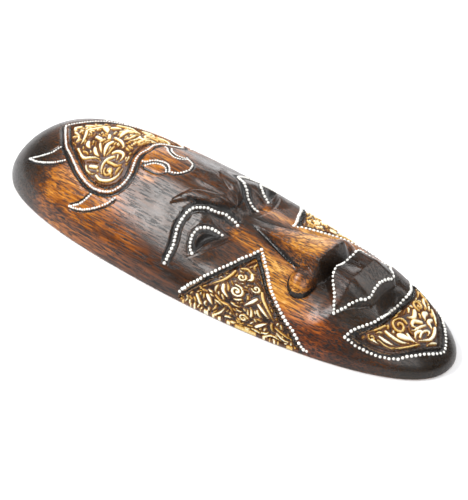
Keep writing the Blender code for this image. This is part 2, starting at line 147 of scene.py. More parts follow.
def smooth_path(knots: np.ndarray, step: float) -> np.ndarray:
    """Draw a smooth line through a few points.

    Args:
        knots: Points that the line passes, one a row.
        step: Distance between the points of the line.

    Returns:
        Points at even steps, one a row.
    """
    ring = np.vstack([knots[:1], knots, knots[-1:]])
    dense = []
    for p0, p1, p2, p3 in zip(ring, ring[1:], ring[2:], ring[3:]):
        for t in np.linspace(0.0, 1.0, 16, endpoint=False):
            dense.append(0.5 * (2.0 * p1 + (p2 - p0) * t
                                + (2.0 * p0 - 5.0 * p1 + 4.0 * p2 - p3) * t * t
                                + (3.0 * p1 - p0 - 3.0 * p2 + p3) * t ** 3))
    dense.append(knots[-1])
    points = np.array(dense)
    run = walked(np.linalg.norm(np.diff(points, axis=0), axis=1))
    count = max(2, int(round(run[-1] / step)) + 1)
    wanted = np.linspace(0.0, run[-1], count)
    return np.column_stack([np.interp(wanted, run, points[:, k]) for k in (0, 1)])


def offset_path(path: np.ndarray, amount: float) -> np.ndarray:
    """Shift a line sideways.

    Args:
        path: Points of the line, one a row.
        amount: Shift to the left of the way that the line runs, in metres.

    Returns:
        The shifted points.
    """
    ahead = np.gradient(path, axis=0)
    ahead /= np.maximum(1e-12, np.linalg.norm(ahead, axis=1))[:, None]
    return path + np.column_stack([-ahead[:, 1], ahead[:, 0]]) * amount


def path_gap(points: np.ndarray, path: np.ndarray, reach: float) -> tuple[np.ndarray, np.ndarray]:
    """Measure how far points lie from a line.

    Args:
        points: Points to measure, one a row.
        path: Points of the line, one a row.
        reach: Distance beyond which no figure is needed.

    Returns:
        The distance of each point, and the share of the way along the line
        where it is nearest.
    """
    gap = np.full(len(points), FAR)
    along = np.zeros(len(points))
    near = np.all((points > path.min(axis=0) - reach) & (points < path.max(axis=0) + reach), axis=1)
    index = np.nonzero(near)[0]
    here = points[index]
    best = np.full(len(here), FAR)
    share = np.zeros(len(here))
    order = np.argsort(here[:, 0])
    across = here[order, 0]
    for number, (start, end) in enumerate(zip(path, path[1:])):
        step = end - start
        first = np.searchsorted(across, min(start[0], end[0]) - reach)
        last = np.searchsorted(across, max(start[0], end[0]) + reach)
        part_of = order[first:last]
        places = here[part_of]
        tall = np.abs(places[:, 1] - 0.5 * (start[1] + end[1])) < reach + 0.5 * abs(step[1])
        part_of, places = part_of[tall], places[tall]
        part = unit((places - start) @ step / max(1e-14, float(step @ step)))
        off = places - start - part[:, None] * step
        distance = np.sqrt(off[:, 0] ** 2 + off[:, 1] ** 2)
        closer = distance < best[part_of]
        chosen = part_of[closer]
        best[chosen] = distance[closer]
        share[chosen] = (number + part[closer]) / (len(path) - 1)
    gap[index] = best
    along[index] = share
    return gap, along


def inside(points: np.ndarray, ring: np.ndarray) -> np.ndarray:
    """Tell which points lie inside a closed outline.

    Args:
        points: Points to test, one a row.
        ring: Corners of the outline, one a row.

    Returns:
        A truth value for each point.
    """
    result = np.zeros(len(points), dtype=bool)
    for a, b in zip(ring, np.roll(ring, -1, axis=0)):
        if abs(b[1] - a[1]) < 1e-15:
            continue
        crosses = (a[1] > points[:, 1]) != (b[1] > points[:, 1])
        at = a[0] + (b[0] - a[0]) * (points[:, 1] - a[1]) / (b[1] - a[1])
        result ^= crosses & (points[:, 0] < at)
    return result


@dataclass(frozen=True)
class MaskForm:
    """Large forms of the mask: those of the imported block, with a softer frown."""

    length: float = 0.300
    width: float = 0.0994
    dome_height: float = 0.0359
    edge: float = 0.0022
    widest_at: float = 0.164
    highest_at: float = 0.478
    outline_top: Place = (2.46, 3.19)
    outline_chin: Place = (2.02, 2.21)
    profile_top: float = 2.37
    profile_chin: float = 1.95
    cross_section: Place = (2.04, 1.765)
    brow_rise: float = 0.0062
    face_sink: float = 0.0036
    muzzle_rise: float = 0.0027
    chin_dent: float = 0.0062
    nose_tip: float = 0.0382
    nose_bridge: float = 0.0305
    nose_half: float = 0.0106
    nose_from: float = -0.147
    nose_to: float = -0.5
    wing_rise: float = 0.0068
    wing_at: Place = (0.345, -0.467)
    wing_size: Place = (0.17, 0.046)
    eye_bulge: float = 0.0016
    eye_at: Place = (0.53, -0.088)
    eye_size: Place = (0.22, 0.075)
    corner_at: Place = (0.24, -0.085)
    corner_size: Place = (0.12, 0.07)
    lip_ridge: float = 0.0022
    lip_falls: Place = (2.4, 3.4)
    mouth_half: float = 0.494
    rim_width: float = 0.0095
    end_land: float = 0.0150
    top_wall: float = 0.0120

    @property
    def half_long(self) -> float:
        """Half of the length."""
        return 0.5 * self.length

    @property
    def half_wide(self) -> float:
        """Half of the greatest width."""
        return 0.5 * self.width

    def beyond(self, y: np.ndarray, centre: float) -> tuple[np.ndarray, np.ndarray]:
        """Which places lie above a centre, and how near each is to its end."""
        up = y > centre
        share = np.where(up, (y - centre) / (self.half_long - centre),
                         (centre - y) / (self.half_long + centre))
        return up, unit(share)

    def side(self, y: np.ndarray) -> np.ndarray:
        """Half width of the outline at places along the length."""
        up, share = self.beyond(y, self.widest_at * self.half_long)
        power = np.where(up, self.outline_top[0], self.outline_chin[0])
        root = np.where(up, self.outline_top[1], self.outline_chin[1])
        return self.half_wide * np.maximum(0.0, 1.0 - share ** power) ** (1.0 / root)

    def dome(self, y: np.ndarray) -> np.ndarray:
        """Height of the plain dome over its edge, on the centre line."""
        up, share = self.beyond(y, self.highest_at * self.half_long)
        power = np.where(up, self.profile_top, self.profile_chin)
        return self.dome_height * np.sqrt(np.maximum(0.0, 1.0 - share ** power))

    def body(self, x: np.ndarray, y: np.ndarray) -> np.ndarray:
        """Height of the plain dome at places in plan."""
        share = unit(np.abs(x) / np.maximum(1e-7, self.side(y)))
        power, root = self.cross_section
        return self.edge + self.dome(y) * (1.0 - share ** power) ** (1.0 / root)

    def forehead_and_face(self, u: np.ndarray, v: np.ndarray) -> np.ndarray:
        """Rise of the forehead over the dome, and sink of the face under it."""
        below = smooth(v, -0.020, -0.140)
        spread = 0.60 + 0.16 * smooth(v, 0.14, 0.04)
        share = unit((u - spread) / (0.08 - spread))
        forehead = self.brow_rise * share * share * (3.0 - 2.0 * share) * smooth(v, 0.80, 0.25)
        face = -self.face_sink * smooth(u, 0.86, 0.46) * smooth(v, -0.62, -0.47)
        fold = smooth(v, 0.16, 0.05) * smooth(v, -0.14, -0.08)
        frown = 0.07 * np.exp(-((u - 0.20) / 0.09) ** 2) - 0.34 * np.exp(-(u / 0.08) ** 2)
        return forehead * (1.0 - below) + face * below + self.brow_rise * frown * fold

    def muzzle(self, u: np.ndarray, v: np.ndarray, reach: np.ndarray) -> np.ndarray:
        """Rise around the mouth, and the dent between lower lip and chin."""
        rise = self.muzzle_rise * smooth(reach, 0.93, 0.70)
        rise = rise * smooth(v, -0.56, -0.64) * smooth(v, -0.88, -0.77)
        dent = self.chin_dent * smooth(u, 0.26, 0.02)
        return rise - dent * smooth(v, -0.705, -0.755) * smooth(v, -0.82, -0.76)

    def eye_form(self, u: np.ndarray, v: np.ndarray) -> np.ndarray:
        """Soft bulge of the eye, and the hollow beside the bridge."""
        ball, corner = (
            np.maximum(0.0, 1.0 - ((u - at[0]) / size[0]) ** 2 - ((v - at[1]) / size[1]) ** 2)
            for at, size in ((self.eye_at, self.eye_size), (self.corner_at, self.corner_size)))
        return self.eye_bulge * (ball - 1.3 * corner)

    def nose(self, x: np.ndarray, y: np.ndarray, ground: np.ndarray) -> np.ndarray:
        """Put the wedge of the nose and its wings on the ground height."""
        across = np.abs(x)
        start = self.nose_from * self.half_long
        tip = self.nose_to * self.half_long
        along = unit((start - y) / (start - tip))
        flat = self.nose_half * (0.16 + 0.84 * along ** 1.25)
        top = self.nose_bridge + (self.nose_tip - self.nose_bridge) * along ** 1.05
        top = top - 0.0012 * along * np.minimum(1.6, across / flat) ** 2
        top = top - 1.7 * np.maximum(0.0, across - flat) - 3.2 * np.maximum(0.0, tip - y)
        top = top - 0.9 * np.maximum(0.0, y - start)
        height = blend_max(ground, top, 0.0012)
        u = (across - self.wing_at[0] * self.half_wide) / (self.wing_size[0] * self.half_wide)
        v = (y - self.wing_at[1] * self.half_long) / (self.wing_size[1] * self.half_long)
        reach = np.maximum(0.0, 1.0 - u * u - v * v)
        wing = blend_max(height, ground + self.wing_rise * np.sqrt(reach), 0.0006)
        return np.where(reach > 0.0, wing, height)

    def mouth(self, u: np.ndarray, v: np.ndarray, ground: np.ndarray) -> np.ndarray:
        """Put the two standing lips on the ground height."""
        top = np.interp(u, *zip(*LIP_TOP))
        line = np.interp(u, *zip(*LIP_LINE))
        share = unit((v - line) / np.maximum(0.004, top - line))
        lip = (1.0 - share) * np.interp(u, *zip(*LIP_LINE_HEIGHT))
        lip = lip + share * np.interp(u, *zip(*LIP_TOP_HEIGHT))
        lip = lip + self.lip_ridge * (1.0 - np.abs(2.0 * share - 1.0)) * smooth(u, 0.50, 0.20)
        above, below = self.lip_falls
        lip = lip - above * self.half_long * np.maximum(0.0, v - top)
        lip = lip - below * self.half_long * np.maximum(0.0, line - v)
        return np.where(u > self.mouth_half, ground, blend_max(ground, lip, 0.0008))

    def front(self, x: np.ndarray, y: np.ndarray) -> np.ndarray:
        """Height of the front with its large forms, before the carving."""
        u = np.abs(x) / self.half_wide
        v = y / self.half_long
        reach = np.abs(x) / np.maximum(TINY, self.side(y))
        height = self.body(x, y) + self.forehead_and_face(u, v) * smooth(reach, 0.99, 0.80)
        height = height + self.muzzle(u, v, reach) + self.eye_form(u, v)
        return self.mouth(u, v, self.nose(x, y, height))

    def ceiling(self, x: np.ndarray, y: np.ndarray) -> np.ndarray:
        """Height of the hollow at places of the back, 0 on the flat land."""
        along = unit(np.abs(y) / (self.half_long - self.end_land))
        side = np.maximum(TINY, self.hollow_side(y))
        top = np.maximum(0.0, self.dome(y) - self.top_wall) * (1.0 - along ** 3.0) ** 0.5
        share = unit(np.abs(x) / side)
        return top * (1.0 - share ** 2.6) ** 0.55

    def hollow_side(self, y: np.ndarray) -> np.ndarray:
        """Half width of the hollow at places along the length."""
        along = unit(np.abs(y) / (self.half_long - self.end_land))
        return np.maximum(0.0, self.side(y) - self.rim_width) * np.sqrt(1.0 - along ** 6.0)

    def normals(self, x: np.ndarray, y: np.ndarray, plain: bool = True) -> np.ndarray:
        """Directions that point out of the front.

        Args:
            x: Places across.
            y: Places along.
            plain: Whether to read the plain dome and not the large forms.

        Returns:
            One unit direction a row.
        """
        height = self.body if plain else self.front
        gap = 0.4 * MM
        slope_x = (height(x + gap, y) - height(x - gap, y)) / (2.0 * gap)
        slope_y = (height(x, y + gap) - height(x, y - gap)) / (2.0 * gap)
        way = np.column_stack([-slope_x, -slope_y, np.ones(len(x))])
        return way / np.linalg.norm(way, axis=1)[:, None]

    def profile_run(self) -> tuple[np.ndarray, np.ndarray]:
        """Places along the length, and the way walked over the dome to each."""
        y = -self.half_long * np.cos(np.linspace(0.0, math.pi, 3001))
        z = self.dome(y)
        run = walked(np.hypot(np.diff(y), np.diff(z)))
        return y, run

    def flatten(self, x: np.ndarray, y: np.ndarray) -> np.ndarray:
        """Lay places in plan out on a flat sheet, one a row."""
        side = np.maximum(1e-7, self.side(y))
        places, run = self.profile_run()
        along = np.interp(y, places, run) - np.interp(0.0, places, run)
        return np.column_stack([side * np.arcsin(np.clip(x / side, -1.0, 1.0)), along])

    def unflatten(self, sheet: np.ndarray) -> tuple[np.ndarray, np.ndarray]:
        """Bring points of the flat sheet back to their places in plan."""
        places, run = self.profile_run()
        y = np.interp(sheet[:, 1] + np.interp(0.0, places, run), run, places)
        side = np.maximum(1e-7, self.side(y))
        return side * np.sin(np.clip(sheet[:, 0] / side, -QUARTER_TURN, QUARTER_TURN)), y

    def draw(self, shares: Sequence[Place], step: float = 0.6 * MM, hand: float = 1.0) -> np.ndarray:
        """Draw a smooth line through places of the face.

        Args:
            shares: Places as shares of half width and half length.
            step: Distance between the points of the line.
            hand: 1 for the right-hand side, -1 for its mirror.

        Returns:
            Points of the flat sheet, one a row.
        """
        knots = np.array(shares, dtype=float)
        sheet = self.flatten(hand * knots[:, 0] * self.half_wide, knots[:, 1] * self.half_long)
        return smooth_path(sheet, step)


LIP_TOP: Line = (
    (0.0, -0.553), (0.1, -0.56), (0.225, -0.564), (0.287, -0.578), (0.334, -0.595), (0.396, -0.612),
    (0.494, -0.636))
LIP_LINE: Line = (
    (0.0, -0.702), (0.1, -0.706), (0.21, -0.711), (0.284, -0.691), (0.338, -0.673), (0.404, -0.657),
    (0.494, -0.637))
LIP_TOP_HEIGHT: Line = (
    (0.0, 0.0333), (0.17, 0.0366), (0.225, 0.0352), (0.334, 0.029), (0.494, 0.022))
LIP_LINE_HEIGHT: Line = (
    (0.0, 0.0318), (0.2, 0.0298), (0.284, 0.0288), (0.404, 0.0242), (0.494, 0.022))
SHELL_DOTS: Line = (
    (0.0, 0.803), (0.05, 0.79), (0.1, 0.772), (0.2, 0.737), (0.3, 0.7), (0.36, 0.675), (0.43, 0.63),
    (0.5, 0.585), (0.56, 0.545), (0.61, 0.497), (0.637, 0.455), (0.64, 0.42), (0.62, 0.385),
    (0.58, 0.36), (0.5, 0.34), (0.42, 0.334), (0.34, 0.337), (0.28, 0.345), (0.2, 0.357),
    (0.1, 0.361), (0.0, 0.356))
CHEEK_UPPER: Line = (
    (0.965, -0.085), (0.92, -0.112), (0.82, -0.157), (0.67, -0.198), (0.49, -0.23), (0.37, -0.254),
    (0.273, -0.267))
CHEEK_LOWER: Line = (
    (0.273, -0.267), (0.33, -0.29), (0.44, -0.337), (0.57, -0.389), (0.66, -0.44), (0.724, -0.487),
    (0.762, -0.54), (0.778, -0.602))
CHIN_TOP: Line = (
    (0.0, -0.757), (0.1, -0.763), (0.19, -0.77), (0.26, -0.768), (0.334, -0.758), (0.4, -0.744),
    (0.446, -0.732), (0.509, -0.717), (0.57, -0.704))
CHIN_LOWER: Line = (
    (0.57, -0.704), (0.557, -0.747), (0.522, -0.795), (0.48, -0.832), (0.43, -0.862),
    (0.388, -0.88), (0.316, -0.901), (0.243, -0.922), (0.161, -0.943), (0.076, -0.962),
    (0.0, -0.972))
EYE_ARC: Line = (
    (0.885, 0.008), (0.8, 0.007), (0.735, 0.01), (0.662, 0.021), (0.6, 0.031), (0.538, 0.034),
    (0.471, 0.032), (0.4, 0.027), (0.361, 0.015), (0.33, -0.006), (0.295, -0.032), (0.245, -0.057),
    (0.195, -0.074), (0.172, -0.095), (0.158, -0.112), (0.168, -0.128))
LID_ARC: Line = (
    (0.72, -0.073), (0.695, -0.058), (0.65, -0.046), (0.595, -0.04), (0.55, -0.041),
    (0.507, -0.049), (0.453, -0.07), (0.415, -0.092), (0.388, -0.118))
EYE_SLIT: Line = ((0.69, -0.078), (0.6, -0.078), (0.5, -0.093), (0.43, -0.12))
REAR_FLIPPER_IN: Line = ((0.558, 0.822), (0.518, 0.765), (0.46, 0.724), (0.375, 0.704))
REAR_FLIPPER_OUT: Line = (
    (0.558, 0.822), (0.585, 0.775), (0.583, 0.728), (0.56, 0.68), (0.505, 0.638))
FRONT_FLIPPER_IN: Line = ((0.853, 0.503), (0.815, 0.466), (0.765, 0.446), (0.7, 0.435))
FRONT_FLIPPER_OUT: Line = (
    (0.853, 0.503), (0.848, 0.462), (0.825, 0.42), (0.77, 0.378), (0.71, 0.348), (0.63, 0.332))
HEAD_ARC: Line = (
    (0.185, 0.326), (0.172, 0.312), (0.115, 0.29), (0.08, 0.262), (0.072, 0.24), (0.1, 0.218),
    (0.152, 0.202))
HEAD_OUTER_ARC: Line = (
    (0.215, 0.303), (0.165, 0.287), (0.13, 0.262), (0.125, 0.24), (0.145, 0.222), (0.172, 0.213))
HEAD_END: Line = ((0.152, 0.202), (0.13, 0.178), (0.095, 0.163), (0.055, 0.156), (0.0, 0.151))
HEAD_SHADE: Line = ((0.235, 0.323), (0.25, 0.28), (0.235, 0.235), (0.172, 0.205))
WING_EDGE: Line = (
    (0.2, -0.425), (0.26, -0.421), (0.36, -0.418), (0.45, -0.43), (0.505, -0.455), (0.505, -0.48),
    (0.45, -0.505), (0.36, -0.514), (0.26, -0.512))
NOSE_SIDE: Line = ((0.05, -0.16), (0.105, -0.235), (0.165, -0.315), (0.215, -0.385), (0.24, -0.43))
UNDER_EYE: Line = (
    (0.09, -0.15), (0.22, -0.152), (0.38, -0.143), (0.53, -0.124), (0.67, -0.096), (0.77, -0.06))
BROW_EDGE: Line = (
    (0.33, 0.095), (0.3, 0.03), (0.26, -0.02), (0.2, -0.055), (0.12, -0.076), (0.01, -0.078))
BROW_TOP: Line = ((0.4, 0.118), (0.22, 0.075), (0.11, 0.015), (0.02, -0.07))
BROW_LEAF: Line = ((0.4, 0.112), (0.27, 0.06), (0.195, 0.003), (0.118, -0.04), (0.025, -0.076))


@dataclass(frozen=True)
class Groove:
    """One cut of the carving, painted black at its bottom, which along the nose side is partly painted
    shade; sizes in millimetres.
    """

    shares: Line
    width: float
    depth: float
    shift: float = 0.0
    paint: float = 1.0
    swell: bool = False


@dataclass(frozen=True)
class Leaf:
    """One raised comma leaf or strand of the scrollwork; width in millimetres."""

    shares: Line
    width: float
    tint: Tint
    even: bool = False
    one_side: bool = False


@dataclass(frozen=True)
class Scroll:
    """A strand that winds inwards to an eye; width in millimetres."""

    centre: Place
    radius: float
    start: float
    turns: float
    hand: float
    width: float
    tint: Tint
    one_side: bool = False

    def path(self, form: MaskForm, side: float) -> np.ndarray:
        """Points of the strand on the flat sheet.

        Args:
            form: The mask that it is cut in.
            side: 1 for the right-hand side, -1 for its mirror.

        Returns:
            Points, one a row.
        """
        middle = form.flatten(np.array([self.centre[0] * form.half_wide]),
                              np.array([self.centre[1] * form.half_long]))[0]
        share = np.linspace(0.0, 1.0, 30)
        angle = np.radians(self.start + self.hand * 360.0 * self.turns * share)
        reach = self.radius * (1.0 - 0.80 * share)
        points = middle + np.column_stack([np.cos(angle), np.sin(angle)]) * reach[:, None]
        points[:, 0] *= side
        return points


Work = tuple[Leaf | Scroll, ...]
SHELL_WORK: Work = (
    Leaf(((0.515, 0.468), (0.535, 0.44), (0.5, 0.405), (0.43, 0.385), (0.33, 0.384)), 1.7, CREAM),
    Leaf(((0.225, 0.47), (0.18, 0.455), (0.185, 0.428), (0.235, 0.417), (0.29, 0.42)), 1.9, CREAM),
    Leaf(((0.335, 0.465), (0.34, 0.44), (0.335, 0.415), (0.29, 0.396)), 1.6, GOLD),
    Leaf(((0.34, 0.398), (0.39, 0.4), (0.43, 0.395)), 1.3, GOLD),
    Leaf(((0.26, 0.452), (0.31, 0.47), (0.38, 0.474), (0.45, 0.462), (0.48, 0.448)), 1.5, CREAM),
    Scroll((0.42, 0.432), 3.1 * MM, 100.0, 1.15, -1.0, 1.2, GOLD),
    Leaf(((0.418, 0.428), (0.435, 0.419)), 1.5, CREAM, even=True),
    Leaf(((0.08, 0.518), (0.15, 0.522), (0.22, 0.512), (0.295, 0.494)), 2.4, CREAM, one_side=True),
    Leaf(((0.14, 0.49), (0.22, 0.486), (0.3, 0.489)), 1.3, GOLD),
    Leaf(((0.165, 0.557), (0.215, 0.54), (0.27, 0.516)), 1.4, CREAM),
    Leaf(((0.245, 0.56), (0.295, 0.54), (0.325, 0.512)), 2.1, CREAM),
    Leaf(((0.325, 0.625), (0.37, 0.602), (0.4, 0.57), (0.37, 0.545), (0.345, 0.52), (0.355, 0.498)),
         1.7, CREAM),
    Leaf(((0.455, 0.517), (0.437, 0.49)), 1.9, CREAM, even=True),
    Leaf(((0.468, 0.537), (0.508, 0.52), (0.518, 0.492), (0.495, 0.478)), 1.2, CREAM),
    Leaf(((0.425, 0.545), (0.4, 0.52), (0.39, 0.495)), 1.1, BROWN),
    Leaf(((0.01, 0.684), (0.08, 0.664), (0.17, 0.645), (0.265, 0.632)), 1.7, CREAM),
    Leaf(((0.15, 0.682), (0.19, 0.7), (0.245, 0.69), (0.285, 0.655)), 1.5, GOLD),
    Leaf(((0.155, 0.68), (0.19, 0.668), (0.215, 0.672)), 1.3, CREAM),
    Leaf(((0.09, 0.722), (0.112, 0.702), (0.14, 0.678)), 1.5, CREAM),
    Leaf(((0.0, 0.752), (0.045, 0.735)), 1.9, CREAM, even=True),
    Leaf(((0.195, 0.612), (0.24, 0.6), (0.262, 0.582)), 2.4, WHITE),
    Leaf(((0.078, 0.603), (0.092, 0.578)), 2.2, WHITE, even=True, one_side=True),
    Leaf(((0.02, 0.632), (0.08, 0.62), (0.135, 0.63), (0.125, 0.65)), 1.5, BROWN, one_side=True),
    Leaf(((-0.015, 0.565), (0.04, 0.549)), 2.1, CREAM, even=True, one_side=True),
    Leaf(((0.0, 0.53), (0.012, 0.5), (0.045, 0.475), (0.09, 0.456), (0.12, 0.462)), 2.0, CREAM,
         one_side=True),
    Leaf(((0.1, 0.437), (0.128, 0.414)), 1.5, GOLD),
    Leaf(((0.0, 0.402), (0.09, 0.396), (0.18, 0.382), (0.26, 0.372)), 1.2, BROWN),
    Leaf(((0.56, 0.48), (0.57, 0.44), (0.545, 0.4), (0.48, 0.372), (0.4, 0.364)), 1.0, BROWN),
    Leaf(((0.31, 0.66), (0.35, 0.62), (0.42, 0.575), (0.48, 0.535)), 1.0, BROWN),
    Leaf(((0.16, 0.58), (0.2, 0.57), (0.24, 0.556)), 1.2, BROWN),
    Leaf(((-0.165, 0.64), (-0.12, 0.615), (-0.06, 0.59)), 3.6, CREAM, one_side=True),
    Leaf(((-0.26, 0.545), (-0.16, 0.535), (-0.04, 0.52)), 3.0, CREAM, one_side=True),
    Leaf(((-0.19, 0.485), (-0.1, 0.48), (-0.03, 0.495)), 1.3, CREAM, one_side=True),
    Leaf(((-0.2, 0.462), (-0.11, 0.455), (-0.03, 0.47)), 1.3, CREAM, one_side=True),
    Leaf(((-0.2, 0.438), (-0.11, 0.428), (-0.02, 0.44)), 1.3, CREAM, one_side=True),
    Leaf(((-0.16, 0.413), (-0.08, 0.408), (-0.01, 0.422)), 1.3, GOLD, one_side=True),
    Leaf(((-0.12, 0.71), (-0.06, 0.69), (-0.02, 0.66)), 1.8, GOLD, one_side=True),
)
CHEEK_WORK: Work = (
    Scroll((0.775, -0.29), 4.3 * MM, 150.0, 1.5, 1.0, 1.5, WHITE),
    Leaf(((0.775, -0.29), (0.785, -0.294)), 1.3, CREAM, even=True),
    Leaf(((0.79, -0.236), (0.828, -0.245), (0.85, -0.272)), 2.1, WHITE),
    Leaf(((0.62, -0.243), (0.68, -0.24), (0.75, -0.228), (0.81, -0.205), (0.85, -0.185)), 1.5, GOLD),
    Scroll((0.64, -0.277), 2.7 * MM, 200.0, 1.15, 1.0, 1.3, CREAM),
    Leaf(((0.56, -0.302), (0.6, -0.312), (0.64, -0.3)), 2.0, CREAM),
    Leaf(((0.565, -0.255), (0.535, -0.275), (0.548, -0.298), (0.528, -0.318)), 1.4, GOLD),
    Leaf(((0.405, -0.282), (0.455, -0.27), (0.515, -0.262)), 1.3, BROWN),
    Leaf(((0.43, -0.292), (0.48, -0.29), (0.505, -0.305)), 1.1, GOLD),
    Scroll((0.66, -0.348), 2.7 * MM, 60.0, 1.15, -1.0, 1.3, CREAM),
    Leaf(((0.735, -0.369), (0.78, -0.358), (0.83, -0.338)), 1.9, WHITE),
    Scroll((0.885, -0.352), 2.8 * MM, 240.0, 1.2, -1.0, 1.2, CREAM),
    Leaf(((0.655, -0.372), (0.705, -0.39), (0.755, -0.425), (0.795, -0.462)), 1.8, GOLD),
    Leaf(((0.765, -0.385), (0.785, -0.41), (0.8, -0.44)), 1.8, WHITE),
    Leaf(((0.875, -0.405), (0.85, -0.425), (0.83, -0.44)), 2.1, WHITE),
    Leaf(((0.905, -0.195), (0.93, -0.22)), 2.4, WHITE),
    Leaf(((0.935, -0.155), (0.955, -0.175)), 1.7, CREAM, even=True),
    Leaf(((0.955, -0.235), (0.93, -0.262), (0.9, -0.275)), 1.6, CREAM),
    Leaf(((0.88, -0.225), (0.89, -0.255), (0.885, -0.29), (0.905, -0.315)), 1.2, GOLD),
    Leaf(((0.89, -0.44), (0.85, -0.47), (0.835, -0.505)), 1.5, CREAM),
    Leaf(((0.815, -0.475), (0.812, -0.51), (0.8, -0.545)), 1.2, GOLD),
    Leaf(((0.735, -0.305), (0.715, -0.325), (0.735, -0.345)), 1.2, BROWN),
    Leaf(((0.87, -0.14), (0.895, -0.165), (0.89, -0.19)), 1.2, GOLD),
    Leaf(((0.6, -0.33), (0.615, -0.352), (0.64, -0.372)), 1.1, BROWN),
    Leaf(((0.935, -0.33), (0.925, -0.385), (0.905, -0.41)), 1.3, GOLD),
)
CHIN_WORK: Work = (
    Scroll((0.155, -0.826), 4.6 * MM, 200.0, 1.35, -1.0, 1.25, GOLD),
    Leaf(((0.27, -0.793), (0.335, -0.784), (0.395, -0.77), (0.44, -0.757)), 1.2, GOLD),
    Scroll((0.44, -0.781), 2.0 * MM, 90.0, 1.0, -1.0, 1.0, GOLD),
    Leaf(((0.235, -0.842), (0.2, -0.858), (0.172, -0.88)), 2.8, WHITE),
    Leaf(((0.308, -0.806), (0.296, -0.83), (0.262, -0.86), (0.215, -0.88)), 1.7, CREAM),
    Leaf(((0.388, -0.8), (0.372, -0.822), (0.338, -0.85)), 1.6, WHITE),
    Leaf(((0.418, -0.8), (0.4, -0.83), (0.358, -0.86)), 1.0, GOLD),
    Leaf(((0.452, -0.784), (0.438, -0.806)), 1.3, WHITE),
    Leaf(((-0.13, -0.822), (-0.06, -0.836), (0.005, -0.824)), 2.3, CREAM),
    Leaf(((-0.085, -0.862), (-0.015, -0.844), (0.035, -0.852), (0.01, -0.866)), 2.0, CREAM),
    Leaf(((-0.09, -0.876), (-0.02, -0.87), (0.05, -0.866), (0.09, -0.858)), 1.3, WHITE),
    Leaf(((0.01, -0.88), (0.075, -0.875), (0.13, -0.887)), 1.6, WHITE),
    Leaf(((0.075, -0.893), (0.02, -0.887), (-0.045, -0.892), (-0.05, -0.903), (0.01, -0.908)), 1.2,
         WHITE),
    Leaf(((-0.17, -0.9), (-0.09, -0.914), (0.0, -0.92), (0.08, -0.906), (0.12, -0.896)), 1.7, WHITE),
    Leaf(((0.152, -0.858), (0.166, -0.88), (0.15, -0.898)), 1.3, WHITE),
    Leaf(((0.15, -0.905), (0.24, -0.887), (0.33, -0.862), (0.4, -0.834)), 1.1, GOLD),
    Leaf(((-0.25, -0.846), (-0.2, -0.846), (-0.155, -0.862)), 2.6, WHITE),
    Leaf(((-0.23, -0.872), (-0.165, -0.874), (-0.13, -0.896)), 2.0, WHITE),
    Scroll((-0.235, -0.815), 3.4 * MM, 320.0, 1.15, 1.0, 1.2, GOLD),
    Leaf(((-0.4, -0.8), (-0.35, -0.812), (-0.31, -0.836)), 1.5, CREAM),
    Leaf(((-0.38, -0.84), (-0.3, -0.872), (-0.22, -0.896)), 1.5, CREAM),
    Leaf(((-0.06, -0.797), (0.0, -0.806), (0.05, -0.8)), 1.1, BROWN),
    Leaf(((0.085, -0.845), (0.115, -0.862), (0.105, -0.88)), 1.0, BROWN),
    Leaf(((-0.45, -0.765), (-0.4, -0.778), (-0.33, -0.79)), 1.1, GOLD),
)


@dataclass(frozen=True)
class Panel:
    """One kind of sunk panel with its scrollwork; each border line has its land in metres."""

    name: str
    border: tuple[tuple[Line, float], ...]
    work: Work
    open_to: float
    mirrored: bool
    warmth: float


SHELL_PANEL = Panel("shell", ((SHELL_DOTS, 3.3 * MM),), SHELL_WORK, -0.1, True, 0.6)
CHEEK_PANEL = Panel("cheek", ((CHEEK_UPPER, 2.8 * MM), (CHEEK_LOWER, 3.6 * MM)), CHEEK_WORK,
                    1.9, True, 0.45)
CHIN_PANEL = Panel("chin", ((CHIN_TOP, 2.5 * MM), (CHIN_LOWER, 3.4 * MM)), CHIN_WORK, -0.1, False, 0.5)
PANELS = (SHELL_PANEL, CHEEK_PANEL, CHIN_PANEL)

GROOVES = tuple(Groove(*row) for row in (
    (SHELL_DOTS, 2.3, 1.1, 2.3), (SHELL_DOTS, 1.6, 0.7, -2.7), (REAR_FLIPPER_IN, 1.5, 0.7, -1.3),
    (REAR_FLIPPER_OUT, 1.5, 0.7, 1.4), (REAR_FLIPPER_OUT, 0.8, 0.3, -1.1, 0.6),
    (FRONT_FLIPPER_IN, 1.6, 0.7, -1.4), (FRONT_FLIPPER_OUT, 1.5, 0.7, 1.4),
    (HEAD_ARC, 1.6, 0.7, 1.25), (HEAD_END, 1.3, 0.6, 1.2), (HEAD_SHADE, 1.3, 0.5, 0.0, 0.8),
    (EYE_ARC, 2.6, 1.3, -2.2), (EYE_ARC, 1.8, 0.8, 2.0), (LID_ARC, 1.7, 0.8, 1.7),
    (LID_ARC, 1.1, 0.4, -1.5, 0.7), (EYE_SLIT, 5.4, 2.3, 0.0, 0.75, True),
    (CHEEK_UPPER, 2.4, 1.2, 2.0), (CHEEK_LOWER, 2.6, 1.2, 2.7), (CHIN_TOP, 2.0, 0.9, -1.9),
    (CHIN_LOWER, 1.5, 0.7, -1.5), (BROW_EDGE, 1.9, 1.1, 0.0, 1.0, True),
    (BROW_TOP, 2.2, 0.5, 0.0, 0.3, True), (WING_EDGE, 1.5, 0.6, 0.0, 0.8, True),
    # The black of the nose-side groove is partly painted shade: the dark band along the flank under the
    # nose's overhanging top.
    (NOSE_SIDE, 2.8, 0.9, 0.3, 0.8, True), (UNDER_EYE, 2.2, 0.7, 0.0, 0.4, True),))


@dataclass(frozen=True)
class Stroke:
    """A leaf or strand laid out on the flat sheet."""

    path: np.ndarray
    half: float
    tint: float
    swell: tuple[float, float, float]


# Shapes of a stroke: where its swell starts and ends on a half wave, and the power of it.
COMMA = (0.28, 0.99, 0.9)
STRAND = (0.15, 0.75, 0.4)
EVEN = (0.5, 0.5, 1.0)


